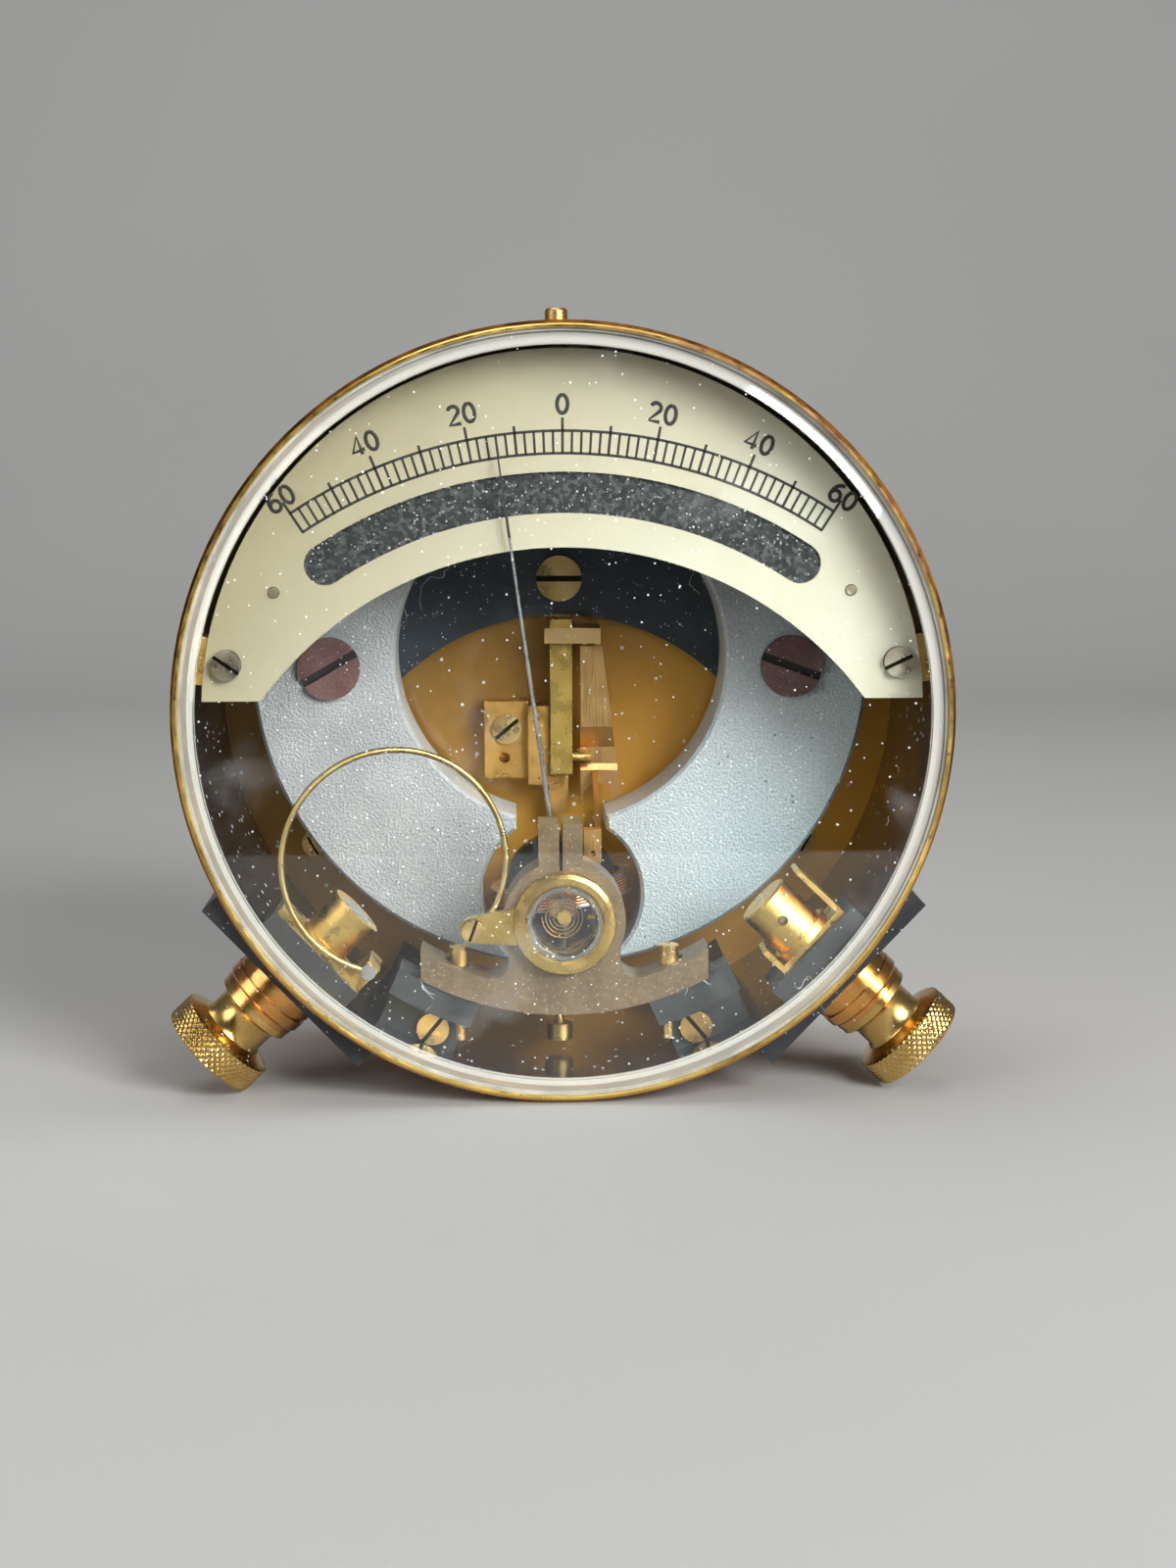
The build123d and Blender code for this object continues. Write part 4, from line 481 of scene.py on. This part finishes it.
# %% Ivory plate
def ivory_finish():
    """Cream paint with painted shade towards the upper left."""
    finish, tree, shader = new_finish("ivory_paint")
    parts = add_node(tree, "SeparateXYZ", {0: place(tree)})
    # Painted light and shade: darker khaki towards the upper left, lighter towards the lower right.
    painted_light_slope = sum_up(tree, "SUBTRACT", parts.outputs[0], parts.outputs[2])
    plate_painted_light = between(tree, painted_light_slope, -0.125, -0.045)
    colour = mix_colour(tree, plate_painted_light, (0.24, 0.205, 0.125), (0.47, 0.455, 0.365))
    colour = mix_colour(tree, sum_up(tree, "MULTIPLY", patches(tree, 70, 5.0, 71.0), 0.35), colour,
                        (0.34, 0.30, 0.20))
    fleck = specks(tree, 800, 0.22, 0.10, 72.0)
    set_shader(
        tree, shader,
        Base_Color=mix_colour(tree, fleck, colour, (0.30, 0.25, 0.16)),
        Roughness=mix_value(tree, patches(tree, 600, 3.0, 73.0), 0.34, 0.46),
        Normal=relief(tree, patches(tree, 1800, 3.0, 74.0), 0.00002, 0.35),
    )
    return finish


ivory = ivory_finish()
dress(ivory, "scale_plate")
print("plate front at", round(plate_front, 5))

# %% [markdown]
# The slot. An arc-shaped window in the plate shows the mirror behind it. A window is easiest as a
# Boolean: a solid with the window's shape is taken away from a copy of the plate, and the result stands
# in for the plate. The shape follows from three values: how far its middle line lies from the pivot,
# its width, and the angle that it spans on each side. Its ends are half circles.

# %% Slot in the plate
slot_reach, slot_width = 62.45 * millimetre, 5.9 * millimetre
slot_span = math.radians(33.3)
window_overrun = millimetre


def slot_outline(steps=48, end_steps=12):
    """Points round the window: the outer arc, one end, the inner arc backwards, the other end."""
    points = []
    for reach, turn, side in ((slot_reach + slot_width / 2, 1, 1), (slot_reach - slot_width / 2, -1, -1)):
        for step in range(steps + 1):
            angle = turn * slot_span * (2 * step / steps - 1)
            points.append((reach * math.sin(angle), reach * math.cos(angle)))
        for step in range(1, end_steps):
            angle = side * slot_span
            swing = math.pi * step / end_steps
            along = side * math.cos(swing) * slot_width / 2
            aside = side * math.sin(swing) * slot_width / 2
            points.append((
                (slot_reach + along) * math.sin(angle) + aside * math.cos(angle),
                (slot_reach + along) * math.cos(angle) - aside * math.sin(angle),
            ))
    return points


def slotted_plate():
    """The plate with its window, as a piece of its own that stands in for the plain one."""
    mesh = bmesh.new()
    outline = slot_outline()
    front, back = [
        [mesh.verts.new((x, plate_front + shift, pivot_height + up)) for x, up in outline]
        for shift in (-window_overrun, 2 * window_overrun)
    ]
    mesh.faces.new(front)
    mesh.faces.new(back[::-1])
    for here in range(len(outline)):
        there = (here + 1) % len(outline)
        mesh.faces.new((front[there], front[here], back[here], back[there]))
    bmesh.ops.recalc_face_normals(mesh, faces=mesh.faces)
    data = bpy.data.meshes.new("window")
    mesh.to_mesh(data)
    mesh.free()
    window = bpy.data.objects.new("window", data)
    plate = bpy.data.objects.new("plate_to_cut", nodes["scale_plate"].data.copy())
    for made in (window, plate):
        bpy.context.scene.collection.objects.link(made)
    cut = plate.modifiers.new("slot", "BOOLEAN")
    cut.object = window
    cut.operation = "DIFFERENCE"
    bpy.context.view_layer.update()
    evaluated = plate.evaluated_get(bpy.context.evaluated_depsgraph_get())
    shaped = bpy.data.meshes.new_from_object(evaluated)
    bpy.data.objects.remove(window)
    bpy.data.objects.remove(plate)
    shaped.materials.clear()
    shaped.materials.append(ivory)
    made = bpy.data.objects.new("slotted_plate", shaped)
    bpy.context.scene.collection.objects.link(made)
    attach(made, "case")
    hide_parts("scale_plate")
    return made


print("slotted plate faces:", len(slotted_plate().data.polygons))

# %% [markdown]
# The mirror behind the slot lets the reader line the pointer up with its own reflection. Its silver
# has gone grey under dust: a dark metallic base, mottled, with pale grains over it.

# %% Mirror
def mirror_finish():
    """Dulled silvering under dust."""
    finish, tree, shader = new_finish("dull_mirror")
    mottle = patches(tree, 1500, 6.0, 81.0)
    colour = mix_colour(tree, mottle, (0.10, 0.105, 0.11), (0.16, 0.165, 0.165))
    grain = specks(tree, 2200, 0.3, 0.35, 82.0)
    set_shader(
        tree, shader,
        Base_Color=mix_colour(tree, grain, colour, (0.46, 0.46, 0.43)),
        Metallic=sum_up(tree, "MULTIPLY", sum_up(tree, "SUBTRACT", 1.0, grain), 0.8),
        Roughness=mix_value(tree, mottle, 0.16, 0.34),
    )
    return finish


dress(mirror_finish(), "scale_mirror")
print("mirror done")

# %% [markdown]
# Printing on the plate. The scale is two arcs with strokes between them, one for every second unit,
# longer at the tens and twenties. Paint this thin could be a texture, but then its edges blur in close
# views, so each line is a thin raised strip of ink in mesh, made by a loop over the divisions.

# %% Scale lines
last_unit = 60
unit_angle = math.radians(33.2 / last_unit)
ink_front = plate_front - 0.015 * millimetre
upper_arc, lower_arc, arc_width = 71.22, 68.02, 0.40
unit_top, ten_top, twenty_top = 71.2, 72.2, 73.1
thin_stroke, bold_stroke, stroke_foot = 0.35, 0.40, 68.0


def on_scale(reach, angle):
    """Point on the plate at a reach in millimetres from the pivot, turned right by an angle."""
    return Vector((reach * millimetre * math.sin(angle), ink_front,
                   pivot_height + reach * millimetre * math.cos(angle)))


def ink_strip(mesh, corners):
    """A raised strip of ink with four corners."""
    sunk = Vector((0, plate_front - ink_front + 0.01 * millimetre, 0))
    top = [mesh.verts.new(corner) for corner in corners]
    foot = [mesh.verts.new(corner + sunk) for corner in corners]
    mesh.faces.new(top)
    mesh.faces.new(foot[::-1])
    for here in range(4):
        there = (here + 1) % 4
        mesh.faces.new((top[there], top[here], foot[here], foot[there]))


def stroke(mesh, angle, low, high, width):
    """A short line that points at the pivot."""
    half = width * millimetre / 2
    side = Vector((math.cos(angle), 0, -math.sin(angle))) * half
    start, end = on_scale(low, angle), on_scale(high, angle)
    ink_strip(mesh, (start - side, start + side, end + side, end - side))


def arc(mesh, low, high, span, steps=120):
    """A line along the scale, between two reaches."""
    for step in range(steps):
        here = span * (2 * step / steps - 1)
        there = span * (2 * (step + 1) / steps - 1)
        corners = ((low, here), (low, there), (high, there), (high, here))
        ink_strip(mesh, [on_scale(reach, angle) for reach, angle in corners])


def as_piece(mesh, name, finish, body="case", smooth=False):
    """Turn a bmesh into an object of the scene that rides on a body."""
    bmesh.ops.recalc_face_normals(mesh, faces=mesh.faces)
    data = bpy.data.meshes.new(name)
    mesh.to_mesh(data)
    mesh.free()
    for face in data.polygons:
        face.use_smooth = smooth
    data.materials.append(finish)
    made = bpy.data.objects.new(name, data)
    bpy.context.scene.collection.objects.link(made)
    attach(made, body)
    return made


def ink_finish():
    """Black ink, a little worn through."""
    finish, tree, shader = new_finish("scale_ink")
    worn = patches(tree, 2600, 4.0, 91.0, low=0.6, high=0.75)
    set_shader(
        tree, shader,
        Base_Color=mix_colour(tree, worn, (0.018, 0.016, 0.014), (0.11, 0.095, 0.07)),
        Roughness=mix_value(tree, worn, 0.42, 0.6),
    )
    return finish


ink = ink_finish()
lines = bmesh.new()
for reach in (upper_arc, lower_arc):
    arc(lines, reach - arc_width / 2, reach + arc_width / 2, (last_unit + 0.2) * unit_angle)
units = range(-last_unit, last_unit + 1, 2)
for value in units:
    top = twenty_top if value % 20 == 0 else ten_top if value % 10 == 0 else unit_top
    width = bold_stroke if value % 10 == 0 else thin_stroke
    stroke(lines, value * unit_angle, stroke_foot, top, width)
as_piece(lines, "scale_lines", ink)
print("scale strokes:", len(units))

# %% [markdown]
# The figures. An engraver drew them with a round pen, so each is one path of even width with round
# ends. A font would be quicker but looks printed. Here each digit is a short path in a box one unit
# high, the path becomes a curve with a round bevel, and the curve is pressed flat on the plate.

# %% Scale figures
figure_height, pen_radius, digit_advance = 2.6, 0.28, 0.86
figure_reach, end_figure_reach = 75.0, 73.7
pressed_flat = 0.12


def bow(centre, size, start, end, steps=14):
    """Points along part of an ellipse, with angles in degrees."""
    points = []
    for step in range(steps + 1):
        angle = math.radians(start + (end - start) * step / steps)
        points.append((centre[0] + size[0] * math.cos(angle), centre[1] + size[1] * math.sin(angle)))
    return points


digits = {
    "0": [bow((0, 0.5), (0.29, 0.5), 90, 450, 24)],
    "2": [bow((0, 0.73), (0.28, 0.27), 165, -35) + [(-0.30, 0.0), (0.32, 0.0)]],
    "4": [[(0.34, 0.24), (-0.34, 0.24), (0.14, 1.0), (0.14, 0.0)]],
    "6": [bow((0.22, 0.42), (0.50, 0.58), 88, 175) + bow((0.0, 0.30), (0.29, 0.30), 170, 520, 24)],
}


def figure(text, angle, reach, name):
    """Digits in a row, centred at a reach, with their tops away from the pivot."""
    curve = bpy.data.curves.new(name, "CURVE")
    curve.dimensions = "3D"
    curve.bevel_depth = pen_radius * millimetre
    curve.bevel_resolution = 2
    curve.use_fill_caps = True
    size = figure_height * millimetre
    for place_in_row, digit in enumerate(text):
        shift = (place_in_row - (len(text) - 1) / 2) * digit_advance
        for path in digits[digit]:
            line = curve.splines.new("POLY")
            line.points.add(len(path) - 1)
            for point, (x, y) in zip(line.points, path):
                point.co = ((x + shift) * size, 0, (y - 0.5) * size, 1)
    made = bpy.data.objects.new(name, curve)
    bpy.context.scene.collection.objects.link(made)
    made.matrix_world = (
        Matrix.Translation(on_scale(reach, angle))
        @ Matrix.Rotation(angle, 4, "Y")
        @ Matrix.Diagonal((1, pressed_flat, 1, 1))
    )
    bpy.context.view_layer.update()
    flat = bpy.data.meshes.new_from_object(made)
    flat.transform(made.matrix_world)
    bpy.data.objects.remove(made)
    flat.materials.clear()
    flat.materials.append(ink)
    printed = bpy.data.objects.new(name, flat)
    bpy.context.scene.collection.objects.link(printed)
    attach(printed, "case")


figured = range(-last_unit, last_unit + 1, 20)
for value in figured:
    side = "left" if value < 0 else "right" if value > 0 else "middle"
    reach = end_figure_reach if abs(value) == last_unit else figure_reach
    figure(str(abs(value)), value * unit_angle, reach, "figure_" + side + "_" + str(abs(value)))
print("figures on the scale:", len(figured))

# %% [markdown]
# The bridge. A brown stoved paint, slightly metallic where it has thinned, with small white grains of
# dust all over it. The grains are the specks that the metals have, only smaller and closer together.

# %% Bridge
def bridge_finish():
    """Brown paint with white grains."""
    finish, tree, shader = new_finish("bridge_paint")
    colour = mix_colour(tree, patches(tree, 200, 5.0, 101.0), (0.17, 0.120, 0.068), (0.115, 0.080, 0.048))
    colour = mix_colour(tree, patches(tree, 1500, 3.0, 102.0, low=0.5, high=0.8), colour, (0.22, 0.16, 0.095))
    grain = specks(tree, 2600, 0.30, 0.26, 103.0)
    set_shader(
        tree, shader,
        Base_Color=mix_colour(tree, grain, colour, (0.74, 0.70, 0.64)),
        Metallic=sum_up(tree, "MULTIPLY", sum_up(tree, "SUBTRACT", 1.0, grain), 0.35),
        Roughness=mix_value(tree, grain, 0.44, 0.9),
        Normal=relief(tree, patches(tree, 2200, 3.0, 104.0), 0.00003, 0.5),
    )
    return finish


dress(bridge_finish(), "pivot_bridge")
print("bridge done")

# %% [markdown]
# The clamp. Its lever and crosshead are bronze, brushed along their length, and its slide and cam pin
# are a clear yellow brass. Brushing is noise stretched a hundredfold along the strip, which is cheap
# and follows the piece because the strip stands upright.

# %% Clamp finishes
def brushed_upright(tree):
    """Grain for old_metal: fine lines that run up and down."""
    return patches(tree, 9000, 2.0, 111.0, place(tree, (1, 1, 0.02)))


def brushed_across(tree):
    """Grain for old_metal: fine lines that run left and right."""
    return patches(tree, 9000, 2.0, 112.0, place(tree, (0.02, 1, 1)))


dress(old_metal("brushed_bronze", (0.80, 0.50, 0.20), (0.58, 0.34, 0.13), (0.28, 0.35), brushed_upright,
                0.00004, seed=113.0), "clamp_lever")
dress(old_metal("bronze_bar", (0.80, 0.54, 0.24), (0.60, 0.38, 0.16), (0.28, 0.35), brushed_across,
                0.00004, seed=114.0), "clamp_crosshead")
dress(old_metal("slide_brass", (1.0, 0.72, 0.20), (0.80, 0.52, 0.14), (0.25, 0.31), brushed_upright,
                0.00003, seed=115.0), "clamp_slide")
dress(old_metal("cam_brass", (0.92, 0.68, 0.24), (0.60, 0.38, 0.12), (0.2, 0.3), seed=116.0), "cam_pin")
dress(old_metal("guide_brass", (0.70, 0.42, 0.13), (0.50, 0.28, 0.08), (0.24, 0.4), seed=117.0),
      "guide_block")
dress(old_metal("steel", (0.62, 0.62, 0.64), (0.36, 0.36, 0.38), (0.2, 0.36), seed=118.0), "lever_pin",
      "pivot_needle", "terminal_studs")
print("clamp finishes done")

# %% [markdown]
# Light parts that move: the silver pointer, the aluminium coil former, the copper winding and the
# spring. The winding's turns lie round the coil, which leans with the pointer, so the fine ridges are
# a wave along the pointer's own direction, with painted shade in the grooves between them.

# %% Moving parts
def winding_finish():
    """Fine turns of lacquered copper wire, with painted shade between the turns."""
    finish, tree, shader = new_finish("copper_winding")
    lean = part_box("pointer")
    tilt = math.atan2(lean[1].x - lean[0].x, lean[1].z - pivot_height)
    turned = place(tree, turn=(0, tilt, 0))
    along = add_node(tree, "SeparateXYZ", {0: turned}).outputs[2]
    turns = sum_up(tree, "SINE", sum_up(tree, "MULTIPLY", along, 2 * math.pi / (0.45 * millimetre)))
    colour = mix_colour(tree, patches(tree, 900, 4.0, 121.0), (0.85, 0.38, 0.18), (0.50, 0.20, 0.10))
    # Painted shade: dark in the grooves between the turns.
    colour = mix_colour(tree, between(tree, turns, 0.2, -0.9), colour, (0.10, 0.04, 0.02))
    set_shader(
        tree, shader,
        Base_Color=colour,
        Metallic=0.85,
        Roughness=0.34,
        Normal=relief(tree, turns, 0.00004, 0.7),
    )
    return finish


winding = winding_finish()
dress(winding, "coil_winding")
silver = old_metal("silver_metal", (0.72, 0.72, 0.72), (0.44, 0.44, 0.45), (0.22, 0.38), seed=122.0)
dress(silver, "pointer", "coil_former")
dress(old_metal("spring_bronze", (0.70, 0.50, 0.30), (0.45, 0.30, 0.18), seed=123.0), "hairspring")
dress(old_metal("nickel", (0.80, 0.79, 0.76), (0.55, 0.54, 0.50), (0.10, 0.22), seed=124.0), "lens_rim")
dress(old_metal("wire_brass", (0.66, 0.53, 0.25), (0.38, 0.28, 0.11), (0.24, 0.4), seed=125.0), "lead_wire")
dress(old_metal("tinned", (0.62, 0.62, 0.60), (0.40, 0.39, 0.37), (0.3, 0.5), seed=126.0), "lead_post")
print("moving parts done")

# %% [markdown]
# Terminals. Collar and washer are brass under the same deep orange lacquer as the drum; the nuts, which
# fingers turn, have lost most of theirs and are yellow. The lathe marks run round each terminal, so
# they depend on the distance along it.

# %% Terminal finishes
terminal_lean = math.radians(46.4)


def terminal_grain(tree):
    """Grain for old_metal: circles about a terminal, the same at the left and at the right."""
    parts = add_node(tree, "SeparateXYZ", {0: place(tree)})
    sideways = sum_up(tree, "MULTIPLY", sum_up(tree, "ABSOLUTE", parts.outputs[0]), math.sin(terminal_lean))
    downwards = sum_up(tree, "MULTIPLY", parts.outputs[2], -math.cos(terminal_lean))
    return rings(tree, sum_up(tree, "ADD", sideways, downwards), 9000)


lacquered = old_metal("terminal_lacquer", (0.86, 0.42, 0.10), (0.46, 0.18, 0.04), (0.16, 0.30),
                      terminal_grain, 0.00003, seed=131.0, lacquer=0.6)
dress(lacquered, "terminal_collars", "clamp_washer_right", "clamp_washer_left")
nut_brass = old_metal("nut_brass", (0.84, 0.58, 0.20), (0.50, 0.30, 0.08), (0.18, 0.32), terminal_grain,
                      0.00002, seed=132.0, lacquer=0.3)
print("terminals done")

# %% [markdown]
# The clamping nuts. Their heads carry a diamond knurl that a wheel rolled into the brass. A bump map
# would vanish at the outline, where the knurl shows most, so the nut is turned in mesh: a profile is
# swept round the terminal, and on the head every point sinks by the distance to the nearest of two
# crossing families of helical ridges. The ridges reach the radius of the plain nut and no further.

# %% Knurled nuts
knurl_teeth = 46
knurl_depth = 0.42 * millimetre
around_steps = knurl_teeth * 6
along_steps = 16
bore_radius, foot_radius, neck_radius, head_radius = 2.6, 6.1, 4.75, 8.0
foot_start, head_start, head_face = 62.4, 68.5, 72.8
dish_depth, dish_radius = 0.35, 4.6


def valley(phase):
    """0 on a ridge and 1 in the valley between two ridges."""
    return abs((phase % 1.0) - 0.5) * 2


def nut_profile():
    """Reach and radius of the nut's outline from the foot to the face, and whether a point is knurled."""
    outline = [(foot_start, bore_radius, 0), (foot_start, foot_radius, 0), (63.4, foot_radius, 0)]
    outline += [(63.5, 6.0, 0), (63.9, 5.1, 0), (64.6, neck_radius, 0), (67.0, neck_radius, 0)]
    outline += [(67.8, 5.2, 0), (68.3, 6.4, 0), (head_start, 7.45, 0)]
    for step in range(along_steps + 1):
        share = step / along_steps
        outline.append((head_start + 0.25 + (head_face - head_start - 0.5) * share, head_radius, 1))
    dish_floor = head_face - dish_depth
    outline += [(head_face, 7.6, 0), (head_face, dish_radius, 0), (dish_floor, 4.3, 0)]
    outline.append((dish_floor, bore_radius, 0))
    return [(reach * millimetre, radius * millimetre, knurled) for reach, radius, knurled in outline]


def knurled_nut(name, side, body):
    """A nut about its terminal, on the side where x is positive for 1 and negative for -1."""
    out = Vector((side * math.sin(terminal_lean), 0, -math.cos(terminal_lean)))
    across = Vector((0, 1, 0))
    upward = out.cross(across)
    start = Vector((0, middle("clamp_nut_right").y, case_height))
    mesh = bmesh.new()
    loops = []
    for reach, radius, knurled in nut_profile():
        loop = []
        for step in range(around_steps):
            share = step / around_steps
            angle = 2 * math.pi * share
            sink = 0.0
            if knurled:
                climb = reach / (2 * math.pi * radius) * knurl_teeth
                sinks = [valley(share * knurl_teeth + climb), valley(share * knurl_teeth - climb)]
                sink = knurl_depth * (1 - max(sinks) * 0.6 - min(sinks) * 0.4)
            ring = across * math.cos(angle) + upward * math.sin(angle)
            loop.append(mesh.verts.new(start + out * reach + ring * (radius - sink)))
        loops.append(loop)
    loops.append(loops[0])
    for low, high in zip(loops, loops[1:]):
        for step in range(around_steps):
            there = (step + 1) % around_steps
            mesh.faces.new((low[step], low[there], high[there], high[step]))
    made = as_piece(mesh, name, nut_brass, body, True)
    made.data.set_sharp_from_angle(angle=math.radians(35))
    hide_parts("clamp_nut_" + body.split("_")[0])
    return made


for name, side in (("right", 1), ("left", -1)):
    nut = knurled_nut("knurled_nut_" + name, side, name + "_nut")
    print(nut.name, "faces:", len(nut.data.polygons))

# %% [markdown]
# Glass. The front glass is a thick disc with a wide bevel that doubles the picture of the rim. It is
# clear, with dust in specks, a few bluish blooms and a painted pale highlight on the bevel. Lamps could not
# light the inside through a refracting surface without a great many samples, so for shadow rays the
# glass turns transparent. The lens over the pivot and the jewel use the same recipe.

# %% Glass finishes
def clear_glass(name, colour, dusty, seed, bevel_glint_from=None):
    """Glass that lets lamps through, with dust on it, and with a painted pale highlight beyond a reach if one
    is given.
    """
    finish, tree, shader = new_finish(name)
    set_shader(tree, shader, Base_Color=opaque(colour), Roughness=0.0, IOR=1.5, Transmission_Weight=1.0)
    output = tree.nodes["Material Output"]
    lamps = add_node(tree, "LightPath").outputs["Is Shadow Ray"]
    open_glass = add_node(tree, "BsdfTransparent", {0: opaque(colour)})
    lit = add_node(tree, "MixShader", {0: lamps, 1: shader.outputs[0], 2: open_glass.outputs[0]})
    if dusty:
        dust = add_node(tree, "BsdfDiffuse", {0: (0.75, 0.76, 0.78, 1.0)})
        bloom = sum_up(tree, "MULTIPLY", patches(tree, 55, 6.0, seed + 1, low=0.62, high=0.95), 0.25)
        where = sum_up(tree, "MAXIMUM", specks(tree, 1100, 0.17, dusty, seed), bloom)
        lit = add_node(tree, "MixShader", {0: where, 1: lit.outputs[0], 2: dust.outputs[0]})
    # Painted highlight: a pale band on the bevel beyond the given reach.
    if bevel_glint_from:
        edge = between(tree, away_from(tree, case_height), bevel_glint_from, bevel_glint_from + 0.1 * millimetre)
        pale = add_node(tree, "BsdfDiffuse", {0: (0.86, 0.86, 0.80, 1.0)})
        share = sum_up(tree, "MULTIPLY", edge, 0.4)
        lit = add_node(tree, "MixShader", {0: share, 1: lit.outputs[0], 2: pale.outputs[0]})
    tree.links.new(lit.outputs[0], output.inputs[0])
    return finish


bevel_width = 1.9 * millimetre
bevel_start = (glass_high.x - glass_low.x) / 2 - bevel_width
dress(clear_glass("front_glass", (0.97, 0.99, 0.98), 0.12, 141.0, bevel_start), "front_glass")
dress(clear_glass("lens_glass", (0.98, 0.99, 0.99), 0.0, 142.0), "zero_lens")
dress(clear_glass("ruby", (0.75, 0.10, 0.16), 0.0, 143.0), "core_jewel")
print("glass done")

# %% [markdown]
# The room: a plain pale floor that curves up into a backdrop, and three soft lamps. The strongest
# stands in front at the upper right and lights the instrument as a window does; weaker ones at the
# left and above open the shadows. Large lamps make soft edges, which small metal parts need to look
# like metal. Upright glass mirrors what stands before it, so the floor ends in front of the drum and
# a dark cloth hangs there, out of the camera's sight.

# %% Floor and lamps
def room_finish(name, colour):
    """Matt floor with a trace of unevenness."""
    finish, tree, shader = new_finish(name)
    shade = mix_colour(tree, patches(tree, 6, 3.0, 151.0), colour, [0.97 * part for part in colour])
    set_shader(tree, shader, Base_Color=shade, Roughness=0.8)
    return finish


floor_front, floor_back, bend_radius, bend_steps = -0.25, 0.55, 0.35, 12
room_half_width, room_height = 2.0, 1.8
room = bmesh.new()
sweep_points = [(floor_front, 0.0), (floor_back, 0.0)]
for step in range(1, bend_steps + 1):
    angle = math.radians(90 * step / bend_steps)
    sweep_points.append((floor_back + bend_radius * math.sin(angle), bend_radius * (1 - math.cos(angle))))
sweep_points.append((floor_back + bend_radius, room_height))
rows = [[room.verts.new((x, y, z)) for x in (-room_half_width, room_half_width)] for y, z in sweep_points]
for low, high in zip(rows, rows[1:]):
    room.faces.new((low[0], low[1], high[1], high[0]))
data = bpy.data.meshes.new("studio_floor")
room.to_mesh(data)
room.free()
data.materials.append(room_finish("pale_floor", (0.42, 0.42, 0.41)))
studio_floor = bpy.data.objects.new("studio_floor", data)
for face in data.polygons:
    face.use_smooth = True
bpy.context.scene.collection.objects.link(studio_floor)
cloth_half_width, cloth_place, cloth_foot, cloth_top = 0.8, -0.6, -0.5, 0.2
cloth_corners = [(-cloth_half_width, cloth_place, cloth_foot), (cloth_half_width, cloth_place, cloth_foot),
                 (cloth_half_width, cloth_place, cloth_top), (-cloth_half_width, cloth_place, cloth_top)]
cloth = bpy.data.meshes.new("dark_cloth")
cloth.from_pydata(cloth_corners, [], [(0, 1, 2, 3)])
cloth.materials.append(room_finish("dark_felt", (0.02, 0.02, 0.022)))
dark_cloth = bpy.data.objects.new("dark_cloth", cloth)
dark_cloth.visible_camera = False
bpy.context.scene.collection.objects.link(dark_cloth)


def lamp(name, spot, aim, size, watts, colour=(1, 1, 1)):
    """A soft square lamp that looks at a point."""
    light = bpy.data.lights.new(name, "AREA")
    light.size = size
    light.energy = watts
    light.color = colour
    made = bpy.data.objects.new(name, light)
    made.location = spot
    made.rotation_mode = "QUATERNION"
    made.rotation_quaternion = (Vector(aim) - Vector(spot)).to_track_quat("-Z", "Y")
    bpy.context.scene.collection.objects.link(made)


drum_middle = (0, 0, case_height)
lamp("window", (0.50, -0.72, 0.48), drum_middle, 0.45, 12.5)
lamp("left_fill", (-0.62, -0.50, 0.30), drum_middle, 0.5, 2.5)
lamp("top_fill", (-0.1, 0.1, 0.9), drum_middle, 0.7, 3.5)
world = bpy.data.worlds.new("studio")
world.use_nodes = True
world.node_tree.nodes["Background"].inputs[0].default_value = (0.92, 0.95, 1.0, 1.0)
world.node_tree.nodes["Background"].inputs[1].default_value = 0.14
bpy.context.scene.world = world
bpy.context.scene.view_settings.view_transform = "Standard"

# %% [markdown]
# The camera stands where the photographer held it: in front, a little above the drum's top and just
# left of its middle, looking slightly down. Its focal length is in pixels of the picture and becomes
# millimetres of a 36 mm sensor along the picture's longer side.

# %% Camera
picture_height = 1600
focal_pixels = 2619.0
sensor = 36.0
pitch, yaw, roll = 0.134, 0.028, -0.003
camera_place = (-0.006861, -0.387879, 0.095562)
forward = Vector((math.sin(yaw) * math.cos(pitch), math.cos(yaw) * math.cos(pitch), -math.sin(pitch)))
level_right = Vector((math.cos(yaw), -math.sin(yaw), 0))
level_up = level_right.cross(forward)
right = level_right * math.cos(roll) + level_up * math.sin(roll)
upward = level_up * math.cos(roll) - level_right * math.sin(roll)
camera_data = bpy.data.cameras.new("camera")
camera_data.sensor_width = sensor
camera_data.lens = focal_pixels * sensor / picture_height
camera_data.clip_start = 0.01
camera = bpy.data.objects.new("camera", camera_data)
turn = Matrix((right, upward, -forward)).transposed().to_4x4()
camera.matrix_world = Matrix.Translation(camera_place) @ turn
bpy.context.scene.collection.objects.link(camera)
bpy.context.scene.camera = camera
print("lens:", round(camera_data.lens, 2), "mm")
